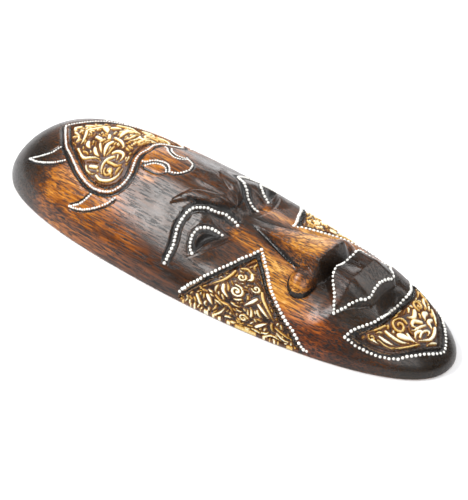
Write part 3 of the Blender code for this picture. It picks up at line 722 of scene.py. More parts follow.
@dataclass(frozen=True)
class LeafSize:
    """One size of the small leaves, from the largest to the least."""

    tries: int
    shortest: float
    longest: float
    thin: float
    thick: float


@dataclass
class LeafFill:
    """Small comma leaves that a carver sets wherever ground is left over."""

    seed: int = 5
    clear: float = 0.36 * MM
    border: float = 0.7 * MM
    step: float = 0.35 * MM
    hook: float = 430.0
    lean: float = 0.9
    tip: float = 0.6
    sizes: tuple[LeafSize, ...] = (
        LeafSize(900, 4.6 * MM, 8.5 * MM, 0.62 * MM, 0.86 * MM),
        LeafSize(2400, 2.6 * MM, 5.2 * MM, 0.50 * MM, 0.68 * MM),
        LeafSize(2600, 1.5 * MM, 2.8 * MM, 0.40 * MM, 0.52 * MM))
    tints: tuple[Tint, ...] = (GOLD, GOLD, CREAM, CREAM, WHITE)
    cell: float = 0.5 * MM

    def fill(self, gap_to_border: "BorderMap", strokes: list[Stroke], both: bool) -> list[Stroke]:
        """Set leaves between the strokes of a panel.

        Args:
            gap_to_border: How far places lie inside the panel.
            strokes: The strokes that are there.
            both: Whether the panel crosses the middle and isn't mirrored.

        Returns:
            The new strokes, all on the left-hand side unless both is set.
        """
        dice = random.Random(self.seed)
        taken = np.vstack([stroke.path for stroke in strokes])
        reach = np.concatenate([np.full(len(stroke.path), stroke.half) for stroke in strokes])
        ahead = np.vstack([np.gradient(stroke.path, axis=0) for stroke in strokes])
        low, high = gap_to_border.low, gap_to_border.high
        added: list[Stroke] = []
        for size in (size for size in self.sizes for _ in range(size.tries)):
            place = np.array([dice.uniform(low[0], high[0]), dice.uniform(low[1], high[1])])
            half = dice.uniform(size.thin, size.thick)
            lean = dice.uniform(-self.lean, self.lean)
            bend = dice.choice((-1.0, 1.0)) * dice.uniform(0.5, 1.0)
            length = dice.uniform(size.shortest, size.longest)
            tint = dice.choice(self.tints).value
            if gap_to_border.at(place[None])[0] < self.border + half or (not both and place[0] > -half):
                continue
            off = np.hypot(*(taken - place).T) - reach
            nearest = int(np.argmin(off))
            if off[nearest] < self.clear + half:
                continue
            angle = math.atan2(ahead[nearest][1], ahead[nearest][0]) + lean
            points = [place]
            for share in np.linspace(0.0, 1.0, int(length / self.step)):
                angle += bend * self.hook * self.step * (0.25 + 1.6 * share * share)
                following = points[-1] + self.step * np.array([math.cos(angle), math.sin(angle)])
                room = np.min(np.hypot(*(taken - following).T) - reach)
                if (room < self.clear + self.tip * half or (not both and following[0] > -half)
                        or gap_to_border.at(following[None])[0] < self.border + self.tip * half):
                    break
                points.append(following)
            if len(points) * self.step < size.shortest:
                continue
            path = np.array(points)
            added.append(Stroke(path, half, tint, COMMA))
            taken = np.vstack([taken, path])
            reach = np.concatenate([reach, np.full(len(path), half)])
            ahead = np.vstack([ahead, np.gradient(path, axis=0)])
        return added


@dataclass
class BorderMap:
    """How far the cells of a fine grid lie inside a panel."""

    low: np.ndarray
    high: np.ndarray
    cell: float
    gaps: np.ndarray

    def at(self, points: np.ndarray) -> np.ndarray:
        """Read the map at points of the sheet."""
        index = np.clip(((points - self.low) / self.cell).round().astype(int), 0,
                        np.array(self.gaps.shape) - 1)
        return self.gaps[index[:, 0], index[:, 1]]


@dataclass
class Carving:
    """All that is cut into the front, read at any place of the sheet."""

    form: MaskForm
    panel_depth: float = 1.6 * MM
    wall: float = 0.6 * MM
    leaf_height: float = 1.5 * MM
    leaf_spread: float = 1.18
    vein_depth: float = 0.18
    vein_width: float = 0.26
    echo_height: float = 0.34 * MM
    echo_pitch: float = 1.1 * MM
    echo_fade: float = 2.0 * MM
    echo_wash: float = 0.24
    wash_fade: float = 1.6 * MM
    rim_fade: float = 1.4 * MM
    bare_border: Place = (0.2 * MM, 1.1 * MM)
    brow_half: float = 4.2 * MM
    brow_height: float = 1.3 * MM
    fill: LeafFill = field(default_factory=LeafFill)

    def __post_init__(self) -> None:
        """Lay out the strokes of every panel once."""
        self.strokes = {panel.name: self._lay_out(panel) for panel in PANELS}

    def read(self, x: np.ndarray, y: np.ndarray) -> dict[str, np.ndarray]:
        """Work out the carving at places in plan.

        Args:
            x: Places across.
            y: Places along.

        Returns:
            The rise along the normal, and shares from 0 to 1 of the black
            paint, the wash, the sunk ground and its warmth.
        """
        sheet = self.form.flatten(x, y)
        folded = np.column_stack([np.abs(sheet[:, 0]), sheet[:, 1]])
        cut, paint, near = self._grooves(folded)
        rise, wash, sunk, warmth = np.zeros((4, len(x)))
        for panel in PANELS:
            border = self._border(panel, folded)
            here = border > 0.0
            ground = smooth(border, 0.0, self.wall)
            level, tint = self._scrollwork(self.strokes[panel.name], sheet[here])
            keep = smooth(border[here], *self.bare_border)
            rise[here] += ground[here] * (-self.panel_depth) + level * keep
            wash[here] = tint * keep
            sunk[here] = ground[here]
            warmth[here] = panel.warmth
        fade = smooth(0.5 * math.pi * self.form.side(y) - folded[:, 0], 0.0, self.rim_fade)
        fade = fade * smooth(np.abs(y) / self.form.half_long, 1.0, 0.985)
        total = (rise + np.where(sunk > 0.0, 0.0, cut)) * fade
        return {"rise": total, "paint": paint, "wash": wash, "sunk": sunk, "warmth": warmth,
                "near": near}

    def _grooves(self, folded: np.ndarray) -> tuple[np.ndarray, np.ndarray, np.ndarray]:
        """Depth of the grooves, how black they are and how far off they are."""
        cut, paint = np.zeros((2, len(folded)))
        near = np.full(len(folded), FAR)
        for groove in GROOVES:
            path = offset_path(self.form.draw(groove.shares), groove.shift * MM)
            half = 0.5 * groove.width * MM
            gap, share = path_gap(folded, path, half + 1.4 * MM)
            near = np.minimum(near, gap - half)
            ends = np.minimum(1.0, np.minimum(share, 1.0 - share) * 14.0 + 0.35)
            if groove.swell:
                ends = np.sin(np.pi * unit(0.08 + 0.84 * share))
            reach = np.maximum(TINY, half * ends)
            shape = unit(1.0 - (gap / reach) ** 2)
            cut = np.minimum(cut, -groove.depth * MM * shape * ends)
            paint = np.maximum(paint, groove.paint * smooth(gap / reach, 1.12, 0.72))
        gap, share = path_gap(folded, self.form.draw(BROW_LEAF), self.brow_half + 1.0 * MM)
        reach = self.brow_half * np.sin(np.pi * unit(0.06 + 0.90 * share)) ** 0.8
        leaf = unit(1.0 - (gap / np.maximum(TINY, reach)) ** 2)
        near = np.minimum(near, gap - self.brow_half)
        return cut + self.brow_height * leaf ** 0.8, paint, near

    def _border(self, panel: Panel, folded: np.ndarray) -> np.ndarray:
        """How far places lie inside a panel; below zero outside."""
        lines = [self.form.draw(shares) for shares, _ in panel.border]
        ring = np.vstack(lines)
        beyond = panel.open_to * self.form.half_wide
        ring = np.vstack([ring, [[beyond, ring[-1, 1]], [beyond, ring[0, 1]]]])
        result = np.where(inside(folded, ring), 1.0, -1.0)
        for (_, land), line in zip(panel.border, lines):
            gap, _ = path_gap(folded, line, 12.0 * MM)
            result = np.minimum(result, gap - land)
        return result

    def _lay_out(self, panel: Panel) -> list[Stroke]:
        """Lay a panel's own work and its fill out on the sheet."""
        strokes: list[Stroke] = []
        for piece in panel.work:
            if isinstance(piece, Scroll):
                path, shape = piece.path(self.form, -1.0), STRAND
            else:
                path = self.form.draw(piece.shares, 0.5 * MM, -1.0)
                shape = EVEN if piece.even else COMMA
            half = 0.5 * piece.width * MM * self.leaf_spread
            strokes.append(Stroke(path, half, piece.tint.value, shape))
        twice = [stroke for stroke, piece in zip(strokes, panel.work)
                 if panel.mirrored and not piece.one_side]
        around = strokes + [self._mirror(stroke) for stroke in twice]
        extra = self.fill.fill(self._border_map(panel), around, not panel.mirrored)
        if panel.mirrored:
            twice = twice + extra
        return strokes + extra + [self._mirror(stroke) for stroke in twice]

    def _mirror(self, stroke: Stroke) -> Stroke:
        """The same stroke on the other side."""
        return Stroke(stroke.path * np.array([-1.0, 1.0]), stroke.half, stroke.tint, stroke.swell)

    def _border_map(self, panel: Panel) -> BorderMap:
        """Read how far a fine grid of places lies inside a panel."""
        ring = np.vstack([self.form.draw(shares) for shares, _ in panel.border])
        widest = ring[:, 0].max()
        if panel.open_to > 1.0:
            widest = 0.5 * math.pi * self.form.half_wide
        low = np.array([-widest, ring[:, 1].min()])
        high = np.array([widest if not panel.mirrored else 0.0, ring[:, 1].max()])
        cell = self.fill.cell
        across = np.arange(low[0], high[0] + cell, cell)
        along = np.arange(low[1], high[1] + cell, cell)
        grid = np.array(np.meshgrid(across, along, indexing="ij")).reshape(2, -1).T
        gaps = self._border(panel, np.column_stack([np.abs(grid[:, 0]), grid[:, 1]]))
        _, y = self.form.unflatten(grid)
        off_edge = 0.5 * math.pi * self.form.side(y) - np.abs(grid[:, 0]) + 3.0 * MM
        gaps = np.minimum(gaps, off_edge)
        return BorderMap(low, high, cell, gaps.reshape(len(across), len(along)))

    def _scrollwork(self, strokes: list[Stroke], sheet: np.ndarray) -> tuple[np.ndarray, np.ndarray]:
        """Height and wash of the scrollwork over the sunk ground."""
        level, tint = np.zeros((2, len(sheet)))
        nearest = np.full(len(sheet), FAR)
        for stroke in strokes:
            gap, share = path_gap(sheet, stroke.path, stroke.half + 2.5 * MM)
            start, end, power = stroke.swell
            swell = np.sin(np.pi * unit(start + (end - start) * share)) ** power
            reach = np.maximum(TINY, stroke.half * swell)
            round_top = np.sqrt(unit(1.0 - (gap / reach) ** 2))
            height = self.leaf_height * round_top * (0.70 + 0.30 * swell)
            vein = np.exp(-(gap / (self.vein_width * reach)) ** 2) * (stroke.half > 1.0 * MM)
            height = height * (1.0 - self.vein_depth * vein)
            higher = height > level
            level[higher] = height[higher]
            tint[higher] = (stroke.tint * smooth(round_top, 0.10, 0.92))[higher]
            nearest = np.minimum(nearest, np.maximum(0.0, gap - reach))
        wave = 0.5 - 0.5 * np.cos(2.0 * np.pi * nearest / self.echo_pitch)
        echo = self.echo_height * wave * np.exp(-nearest / self.echo_fade) * (nearest < 0.1)
        stain_left = self.echo_wash * wave * np.exp(-nearest / self.wash_fade)
        tint = np.maximum(tint, stain_left * (nearest > 0.0))
        return np.maximum(level, echo), tint


@dataclass(frozen=True)
class Cloud:
    """One soft patch of tone around a place: mostly stain rubbed into the wood, in a few patches painted
    shade and a painted highlight.
    """

    u: float
    v: float
    reach_u: float
    reach_v: float
    tone: float
    red: float = 0.2
    weight: float = 1.0


CLOUDS = tuple(Cloud(*row) for row in (
    (0.0, 0.98, 0.9, 0.11, 0.05, 0.0, 3.0), (0.5, 0.8, 0.3, 0.1, 0.07, 0.0, 2.0),
    (0.9, 0.74, 0.2, 0.12, 0.1, 0.1, 1.5), (0.66, 0.57, 0.14, 0.08, 0.64, 0.4, 2.6),
    (0.82, 0.56, 0.12, 0.1, 0.52, 0.5, 1.2), (0.72, 0.4, 0.12, 0.07, 0.58, 0.4, 1.8),
    (0.93, 0.42, 0.08, 0.15, 0.42, 0.5, 1.0), (0.5, 0.66, 0.08, 0.04, 0.3, 0.4, 1.0),
    (0.1, 0.62, 0.42, 0.22, 0.55, 0.3, 1.2), (0.03, 0.27, 0.1, 0.06, 0.62, 0.3, 3.0),
    (0.04, 0.19, 0.1, 0.03, 0.42, 0.3, 2.0), (0.29, 0.27, 0.06, 0.04, 0.6, 0.2, 1.6),
    (0.5, 0.26, 0.14, 0.05, 0.26, 0.2, 1.4), (0.76, 0.26, 0.1, 0.08, 0.36, 0.6, 1.0),
    (0.53, 0.12, 0.18, 0.1, 0.2, 0.0, 2.4), (0.85, 0.06, 0.1, 0.12, 0.22, 0.5, 1.4),
    (0.1, 0.09, 0.14, 0.06, 0.34, 0.2, 1.2), (0.2, 0.02, 0.1, 0.08, 0.2, 0.2, 1.4),
    (0.55, -0.02, 0.2, 0.06, 0.17, 0.0, 1.8), (0.5, -0.1, 0.14, 0.04, 0.2, 0.6, 1.2),
    (0.75, -0.12, 0.12, 0.07, 0.2, 0.0, 1.8), (0.92, -0.03, 0.07, 0.1, 0.2, 0.5, 1.6),
    (0.27, -0.19, 0.07, 0.05, 0.62, 0.2, 1.8), (0.44, -0.19, 0.08, 0.05, 0.3, 0.3, 1.2),
    (0.02, -0.19, 0.06, 0.07, 0.14, 0.2, 2.0), (0.0, -0.41, 0.16, 0.075, 0.72, 0.1, 2.6),
    # The pale clouds at (0.35, -0.33) and (0.5, -0.43) are partly the amber of the wood and partly a
    # painted highlight: the glare of the varnish on the inner cheek.
    (0.05, -0.3, 0.1, 0.05, 0.55, 0.2, 1.4), (0.35, -0.33, 0.12, 0.06, 0.74, 0.1, 2.2),
    (0.5, -0.43, 0.1, 0.07, 0.8, 0.1, 2.4), (0.36, -0.47, 0.11, 0.04, 0.38, 0.3, 3.4),
    (0.58, -0.53, 0.08, 0.05, 0.6, 0.4, 1.6), (0.7, -0.6, 0.1, 0.08, 0.4, 0.9, 1.8),
    (0.42, -0.56, 0.1, 0.03, 0.46, 0.1, 1.4), (0.36, -0.61, 0.07, 0.02, 0.34, 0.6, 3.0),
    (0.28, 0.04, 0.07, 0.05, 0.27, 0.4, 2.0), (0.05, -0.545, 0.24, 0.03, 0.04, 0.1, 10.0),
    (0.2, -0.6, 0.22, 0.05, 0.17, 0.6, 2.2), (0.15, -0.67, 0.25, 0.05, 0.13, 0.0, 2.2),
    (0.2, -0.75, 0.35, 0.05, 0.13, 0.0, 2.0), (0.65, -0.72, 0.12, 0.07, 0.24, 0.8, 1.4),
    (0.3, -0.95, 0.5, 0.08, 0.09, 0.0, 2.5), (0.15, -0.85, 0.3, 0.05, 0.4, 0.5, 1.5),
    (0.85, -0.35, 0.18, 0.12, 0.4, 0.6, 1.2), (0.96, 0.15, 0.05, 0.3, 0.16, 0.5, 1.5),
    (0.82, 0.48, 0.2, 0.2, 0.6, 0.4, 2.6), (0.15, 0.05, 0.1, 0.06, 0.24, 0.3, 1.6),
    # The dark clouds at (0.13, -0.26) and (0.2, -0.35) along the nose side are partly stain and partly
    # painted shade: the shadow that the nose's top casts on its flank.
    (0.13, -0.26, 0.05, 0.06, 0.2, 0.3, 3.0), (0.2, -0.35, 0.04, 0.05, 0.26, 0.3, 2.5),
    (0.91, 0.27, 0.1, 0.12, 0.48, 0.5, 1.6), (0.95, 0.08, 0.07, 0.14, 0.4, 0.5, 1.4),))


def stain_and_painted_light(form: MaskForm, x: np.ndarray, y: np.ndarray) -> tuple[np.ndarray, np.ndarray]:
    """Read the stain at places of the front, with its few patches of painted shade and painted
    highlight.

    Args:
        form: The mask.
        x: Places across.
        y: Places along.

    Returns:
        The tone, from 0 for charcoal to 1 for pale amber, and the redness.
    """
    u = np.abs(x) / form.half_wide
    v = y / form.half_long
    weight = np.full(len(x), 0.10)
    tone = np.full(len(x), 0.10 * 0.26)
    red = np.full(len(x), 0.10 * 0.4)
    for cloud in CLOUDS:
        gap = ((u - cloud.u) / cloud.reach_u) ** 2 + ((v - cloud.v) / cloud.reach_v) ** 2
        share = cloud.weight * np.exp(-gap)
        weight += share
        tone += share * cloud.tone
        red += share * cloud.red
    return tone / weight, red / weight


def deselect() -> None:
    """Leave no object selected."""
    for item in bpy.context.selected_objects:
        item.select_set(False)


def pick(item: bpy.types.Object) -> None:
    """Make one object the only one selected, and the active one."""
    deselect()
    item.select_set(True)
    bpy.context.view_layer.objects.active = item


@contextmanager
def editing() -> Iterator[None]:
    """Go to edit mode for a few steps, and back."""
    bpy.ops.object.mode_set(mode="EDIT")
    yield
    bpy.ops.object.mode_set(mode="OBJECT")


def select_only(item: bpy.types.Object, kind: str, chosen: np.ndarray) -> None:
    """Select some points, edges or faces of an object, and nothing else of it.

    Args:
        item: The object.
        kind: Name of the mesh list, as "edges" or "polygons".
        chosen: A truth value for each entry of that list.
    """
    for name in MESH_LISTS:
        part = getattr(item.data, name)
        part.foreach_set("select", chosen if name == kind else np.zeros(len(part), dtype=bool))
    pick(item)
    bpy.context.tool_settings.mesh_select_mode = tuple(kind == name for name in MESH_LISTS)


def open_border(item: bpy.types.Object, kind: str = "edges") -> np.ndarray:
    """Tell which edges or points of an object lie on an open border."""
    shape = bmesh.new()
    shape.from_mesh(item.data)
    parts = shape.verts if kind == "vertices" else shape.edges
    found = np.array([part.is_boundary for part in parts], dtype=bool)
    shape.free()
    return found


def plan_of(item: bpy.types.Object) -> np.ndarray:
    """Read the places of an object's points, one a row."""
    places = np.empty(len(item.data.vertices) * 3)
    item.data.vertices.foreach_get("co", places)
    return places.reshape(-1, 3)


def put_plan(item: bpy.types.Object, places: np.ndarray) -> None:
    """Move an object's points to new places."""
    item.data.vertices.foreach_set("co", places.astype(np.float32).ravel())
    item.data.update()


def soft_noise(x: np.ndarray, y: np.ndarray, pattern: Colour) -> np.ndarray:
    """Read soft noise; the pattern is its waves a metre across and along, and its level."""
    across, along, level = pattern
    return np.array([noise.noise(Vector((a * across, b * along, level))) for a, b in zip(x, y)])


@dataclass
class MaskBlock:
    """The carved block: a fine front, its edge and the hollow back."""

    form: MaskForm
    carving: Carving
    columns: int = 71
    rows: int = 188
    panel_cuts: int = 3
    groove_cuts: int = 2
    back_columns: int = 26
    back_rows: int = 84
    chamfer: float = 0.5 * MM
    wear: float = 0.16 * MM
    knife_marks: float = 0.10 * MM
    crease: float = 50.0
    groove_reach: float = 0.75 * MM
    bend_gap: float = 0.9 * MM
    bend_limit: float = 0.2 * MM
    gouge_marks: float = 0.35 * MM

    def build(self) -> bpy.types.Object:
        """Model the block.

        Returns:
            The mask as one closed mesh.
        """
        front = self._front()
        back = self._back()
        deselect()
        back.select_set(True)
        front.select_set(True)
        bpy.context.view_layer.objects.active = front
        bpy.ops.object.join()
        self._close_land(front)
        self._shade(front)
        front.name = front.data.name = "carved_mask"
        return front

    def _cell_area(self) -> float:
        """Area of a face of the front before it is refined, in plan."""
        return 0.7 * self.form.length * self.form.width / (self.columns * self.rows)

    def _disc(self, item: bpy.types.Object, columns: int, rows: int) -> np.ndarray:
        """Turn a square grid's corners into a round disc of radius 1."""
        places = plan_of(item)
        s = places[:, 0] / max(1e-9, places[:, 0].max())
        t = places[:, 1] / max(1e-9, places[:, 1].max())
        across = self._even_columns(columns)
        along = self._even_rows(rows)
        s = np.interp(s, np.linspace(-1.0, 1.0, len(across)), across)
        t = np.interp(t, np.linspace(-1.0, 1.0, len(along)), along)
        return np.column_stack([s * np.sqrt(1.0 - 0.5 * t * t), t * np.sqrt(1.0 - 0.5 * s * s)])

    def _even_columns(self, count: int) -> np.ndarray:
        """Places across the disc that lie evenly over the dome."""
        x = self.form.half_wide * np.sin(np.linspace(-0.5, 0.5, 2001) * math.pi)
        z = self.form.body(x, np.full(len(x), self.form.widest_at * self.form.half_long))
        run = walked(np.hypot(np.diff(x), np.diff(z)))
        return np.interp(np.linspace(0.0, run[-1], count + 1), run, x) / self.form.half_wide

    def _even_rows(self, count: int) -> np.ndarray:
        """Places along the disc that lie evenly over the dome."""
        places, run = self.form.profile_run()
        y = np.interp(np.linspace(0.0, run[-1], count + 1), run, places)
        return self._disc_of(y)

    def _disc_of(self, y: np.ndarray) -> np.ndarray:
        """Where a place along the length lies on the disc, -1 to 1."""
        share = unit(self.form.side(y) / self.form.half_wide)
        sign = np.where(y > self.form.widest_at * self.form.half_long, 1.0, -1.0)
        return sign * np.sqrt(1.0 - share * share)

    def _plan_from_disc(self, disc: np.ndarray) -> tuple[np.ndarray, np.ndarray]:
        """Spread the disc over the outline of the mask."""
        y = -self.form.half_long * np.cos(np.linspace(0.0, math.pi, 6001))
        table = self._disc_of(y)
        place = np.interp(disc[:, 1], table, y)
        limit = np.sqrt(np.maximum(0.0, 1.0 - disc[:, 1] ** 2))
        side = self.form.side(place)
        share = np.clip(disc[:, 0] / np.maximum(1e-9, limit), -1.0, 1.0)
        return np.where(limit > TINY, share * side, 0.0), place

    def _grid(self, columns: int, rows: int) -> bpy.types.Object:
        """Lay a flat grid of faces."""
        deselect()
        bpy.ops.mesh.primitive_grid_add(x_subdivisions=columns, y_subdivisions=rows,
                                        size=self.form.length, location=(0.0, 0.0, 0.0))
        return bpy.context.active_object

    def _front(self) -> bpy.types.Object:
        """Model the front and the edge below it."""
        item = self._grid(self.columns, self.rows)
        x, y = self._plan_from_disc(self._disc(item, self.columns, self.rows))
        put_plan(item, np.column_stack([x, y, np.zeros(len(x))]))
        self._refine(item)
        self._lift(item)
        self._edge(item)
        return item

    def _refine(self, item: bpy.types.Object) -> None:
        """Cut the faces smaller where the carving is fine."""
        for cuts in (self.panel_cuts, self.groove_cuts):
            faces = item.data.polygons
            centres, areas = np.empty(len(faces) * 3), np.empty(len(faces))
            faces.foreach_get("center", centres)
            faces.foreach_get("area", areas)
            x, y = centres.reshape(-1, 3)[:, :2].T
            found = self.carving.read(x, y)
            gap = self.bend_gap
            bend = np.abs(self.form.front(x + gap, y) + self.form.front(x - gap, y)
                          + self.form.front(x, y + gap) + self.form.front(x, y - gap)
                          - 4.0 * self.form.front(x, y))
            inner = np.abs(x) < 0.97 * self.form.side(y)
            if cuts == self.panel_cuts:
                wanted = found["sunk"] > 0.1
            else:
                wanted = (found["near"] < self.groove_reach) | ((bend > self.bend_limit) & inner)
                wanted &= (found["sunk"] < 0.1) & (areas > 0.45 * self._cell_area())
            select_only(item, "polygons", wanted)
            with editing():
                bpy.ops.mesh.subdivide(number_cuts=cuts, ngon=False, quadcorner="INNERVERT")
                bpy.ops.mesh.select_all(action="DESELECT")

    def _lift(self, item: bpy.types.Object) -> None:
        """Bring the flat front to its height and keep what the finish reads."""
        places = plan_of(item)
        x, y = places[:, 0].copy(), places[:, 1].copy()
        rim = open_border(item, "vertices")
        x[rim] = np.sign(x[rim]) * self.form.side(y[rim]) * np.where(np.abs(x[rim]) > TINY, 1.0, 0.0)
        found = self.carving.read(x, y)
        height = self.form.front(x, y)
        height[rim] = self.form.edge
        found["rise"][rim] = 0.0
        way = self.form.normals(x, y)
        worn = soft_noise(x, y, (55.0, 30.0, 0.3))
        knife = soft_noise(x, y, (420.0, 260.0, 4.1))
        inner = smooth(np.abs(x) / np.maximum(TINY, self.form.side(y)), 0.99, 0.90)
        rise = found["rise"] + inner * (self.wear * worn + found["sunk"] * self.knife_marks * knife)
        rise[rim] = 0.0
        put_plan(item, np.column_stack([x, y, height]) + way * rise[:, None])
        # The tone holds the stain and, in a few patches, painted shade and a painted highlight.
        tone, red = stain_and_painted_light(self.form, x, y)
        values = {name: found[name] for name in ("paint", "wash", "sunk", "warmth")}
        values |= {"tone": tone, "red": red, "relief": found["rise"] / self.carving.panel_depth}
        for name, column in values.items():
            layer = item.data.attributes.new(name, "FLOAT", "POINT")
            layer.data.foreach_set("value", column.astype(np.float32))

    def _edge(self, item: bpy.types.Object) -> None:
        """Extrude the border down to the land, with a small chamfer."""
        for drop, pull in ((self.form.edge - self.chamfer, 0.0), (self.chamfer, 0.8 * self.chamfer)):
            select_only(item, "edges", open_border(item))
            with editing():
                bpy.ops.mesh.extrude_region_move(TRANSFORM_OT_translate={"value": (0.0, 0.0, -drop)})
                bpy.ops.mesh.select_all(action="DESELECT")
            if pull > 0.0:
                places = plan_of(item)
                rim = open_border(item, "vertices")
                places[rim, 0] *= 1.0 - pull / self.form.half_wide
                places[rim, 1] *= 1.0 - pull / self.form.half_long
                places[rim, 2] = 0.0
                put_plan(item, places)

    def _back(self) -> bpy.types.Object:
        """Model the hollow, with the marks of the gouge."""
        item = self._grid(self.back_columns, self.back_rows)
        places = plan_of(item)
        s = np.sin(places[:, 0] / places[:, 0].max() * 0.5 * math.pi)
        t = np.sin(places[:, 1] / places[:, 1].max() * 0.5 * math.pi)
        across = s * np.sqrt(1.0 - 0.5 * t * t)
        along = t * np.sqrt(1.0 - 0.5 * s * s)
        y = along * (self.form.half_long - self.form.end_land)
        limit = np.sqrt(np.maximum(1e-9, 1.0 - along ** 2))
        x = np.clip(across / limit, -1.0, 1.0) * self.form.hollow_side(y)
        z = self.form.ceiling(x, y)
        gouge = soft_noise(x, y, (95.0, 42.0, 7.7))
        z = np.maximum(0.0, z - np.minimum(1.0, z / (4.0 * MM)) * self.gouge_marks * np.abs(gouge))
        put_plan(item, np.column_stack([x, y, z]))
        rim = open_border(item, "vertices")
        places = plan_of(item)
        places[rim, 2] = 0.0
        put_plan(item, places)
        pick(item)
        with editing():
            bpy.ops.mesh.select_all(action="SELECT")
            bpy.ops.mesh.flip_normals()
        return item

    def _close_land(self, item: bpy.types.Object) -> None:
        """Fill the flat land between the edge and the hollow."""
        select_only(item, "edges", open_border(item))
        with editing():
            bpy.ops.mesh.fill(use_beauty=True)
            bpy.ops.mesh.select_all(action="SELECT")
            bpy.ops.mesh.remove_doubles(threshold=TINY)
            bpy.ops.mesh.normals_make_consistent(inside=False)

    def _shade(self, item: bpy.types.Object) -> None:
        """Shade the block smooth, sharp at its edge, and sort its faces."""
        pick(item)
        bpy.ops.object.shade_smooth_by_angle(angle=math.radians(self.crease))
        sunk = np.empty(len(item.data.vertices))
        item.data.attributes["sunk"].data.foreach_get("value", sunk)
        for face in item.data.polygons:
            low = face.center.z < self.form.edge - self.chamfer or face.normal.z < -0.05
            if low and face.center.z < 0.03 and face.normal.z < 0.05 and self._under(face):
                face.material_index = Side.BACK.value
            elif min(sunk[k] for k in face.vertices) > 0.5:
                face.material_index = Side.PANEL.value
            else:
                face.material_index = Side.FACE.value

    def _under(self, face: bpy.types.MeshPolygon) -> bool:
        """Whether a face belongs to the bare wood of the back."""
        return face.normal.z < -0.2 or (face.center.z > self.form.edge and face.normal.z < 0.0)


@dataclass(frozen=True)
class DotRow:
    """A row of paint dots along one line of the face; sizes in millimetres."""

    name: str
    shares: Line
    size: float
    pitch: float
    shift: float = 0.0


DOT_ROWS = tuple(DotRow(*row) for row in (
    ("shell", SHELL_DOTS, 1.35, 1.6), ("rear_flipper_inner", REAR_FLIPPER_IN, 1.3, 1.6),
    ("rear_flipper_outer", REAR_FLIPPER_OUT, 1.3, 1.6),
    ("front_flipper_inner", FRONT_FLIPPER_IN, 1.35, 1.65),
    ("front_flipper_outer", FRONT_FLIPPER_OUT, 1.35, 1.65), ("head_side", HEAD_ARC, 1.25, 1.5),
    ("head_outer", HEAD_OUTER_ARC, 1.2, 1.45), ("head_end", HEAD_END, 1.3, 1.6),
    ("eye", EYE_ARC, 1.85, 2.15), ("lid", LID_ARC, 1.75, 2.1),
    ("cheek_upper", CHEEK_UPPER, 1.85, 2.2), ("cheek_lower", CHEEK_LOWER, 1.75, 2.2),
    ("lip_top", LIP_TOP, 1.65, 2.15, -0.2), ("lip_line", LIP_LINE, 1.65, 2.2, 0.2),
    ("chin_top", CHIN_TOP, 1.7, 2.15), ("chin_lower", CHIN_LOWER, 1.6, 2.2),))


@dataclass
class PaintDots:
    """Rows of thick white dots set with a stick."""

    form: MaskForm
    carving: Carving
    height: float = 0.42
    foot: float = 0.2
    stray: float = 0.07
    seed: int = 11

    def pattern(self) -> tuple[np.ndarray, Faces]:
        """Model one dot of radius 1 and take its points and faces."""
        deselect()
        bpy.ops.mesh.primitive_uv_sphere_add(segments=10, ring_count=6, radius=1.0,
                                             location=(0.0, 0.0, 0.0))
        item = bpy.context.active_object
        with editing():
            bpy.ops.mesh.select_all(action="SELECT")
            bpy.ops.mesh.bisect(plane_co=(0.0, 0.0, -self.foot), plane_no=(0.0, 0.0, 1.0),
                                use_fill=True, clear_inner=True)
        places = plan_of(item).copy()
        faces = [tuple(face.vertices) for face in item.data.polygons]
        bpy.data.objects.remove(item)
        return places, faces

    def build(self) -> list[bpy.types.Object]:
        """Set every row on both sides of the face.

        Returns:
            One piece for each row.
        """
        places, faces = self.pattern()
        dice = random.Random(self.seed)
        return [self._row(row, places, faces, dice) for row in DOT_ROWS]

    def _row(self, row: DotRow, places: np.ndarray, faces: Faces,
             dice: random.Random) -> bpy.types.Object:
        """Copy the dot along one line and its mirror.

        Args:
            row: The row to set.
            places: Points of the pattern dot.
            faces: Faces of the pattern dot.
            dice: Source of the small differences between dots.

        Returns:
            The row as one piece.
        """
        path = offset_path(self.form.draw(row.shares, 0.25 * MM), row.shift * MM)
        x, y = self.form.unflatten(path)
        z = self.form.front(x, y)
        run = walked(np.sqrt(np.diff(x) ** 2 + np.diff(y) ** 2 + np.diff(z) ** 2))
        count = max(2, int(round(run[-1] / (row.pitch * MM))))
        wanted = np.linspace(0.0, run[-1], count + 1)
        x, y = np.interp(wanted, run, x), np.interp(wanted, run, y)
        keep = x > 0.35 * row.size * MM
        x, y = np.concatenate([x, -x[keep]]), np.concatenate([y, y[keep]])
        stray = self.stray * row.size * MM
        x = x + np.array([dice.uniform(-stray, stray) for _ in x])
        y = y + np.array([dice.uniform(-stray, stray) for _ in y])
        ways = self.form.normals(x, y, plain=False)
        rise = self.carving.read(x, y)["rise"]
        centres = np.column_stack([x, y, self.form.front(x, y)]) + ways * rise[:, None]
        verts: list[np.ndarray] = []
        made: Faces = []
        for way, centre in zip(ways, centres):
            start = len(verts) * len(places)
            verts.append(places @ self._turn(way, row, dice) + centre)
            made += [tuple(start + k for k in face) for face in faces]
        mesh = bpy.data.meshes.new("dots_" + row.name)
        mesh.from_pydata(np.vstack(verts).tolist(), [], made)
        mesh.validate()
        for face in mesh.polygons:
            face.use_smooth = True
        item = bpy.data.objects.new("dots_" + row.name, mesh)
        bpy.context.scene.collection.objects.link(item)
        return item

    def _turn(self, way: np.ndarray, row: DotRow, dice: random.Random) -> np.ndarray:
        """Turn and size of one dot, as a matrix for points in rows."""
        turn = Vector(way).to_track_quat("Z", "Y").to_matrix()
        size = 0.5 * row.size * MM * dice.uniform(0.90, 1.12)
        scale = Matrix.Diagonal((size * dice.uniform(0.92, 1.10), size, size * 2.0 * self.height))
        return np.array((turn @ scale).transposed())


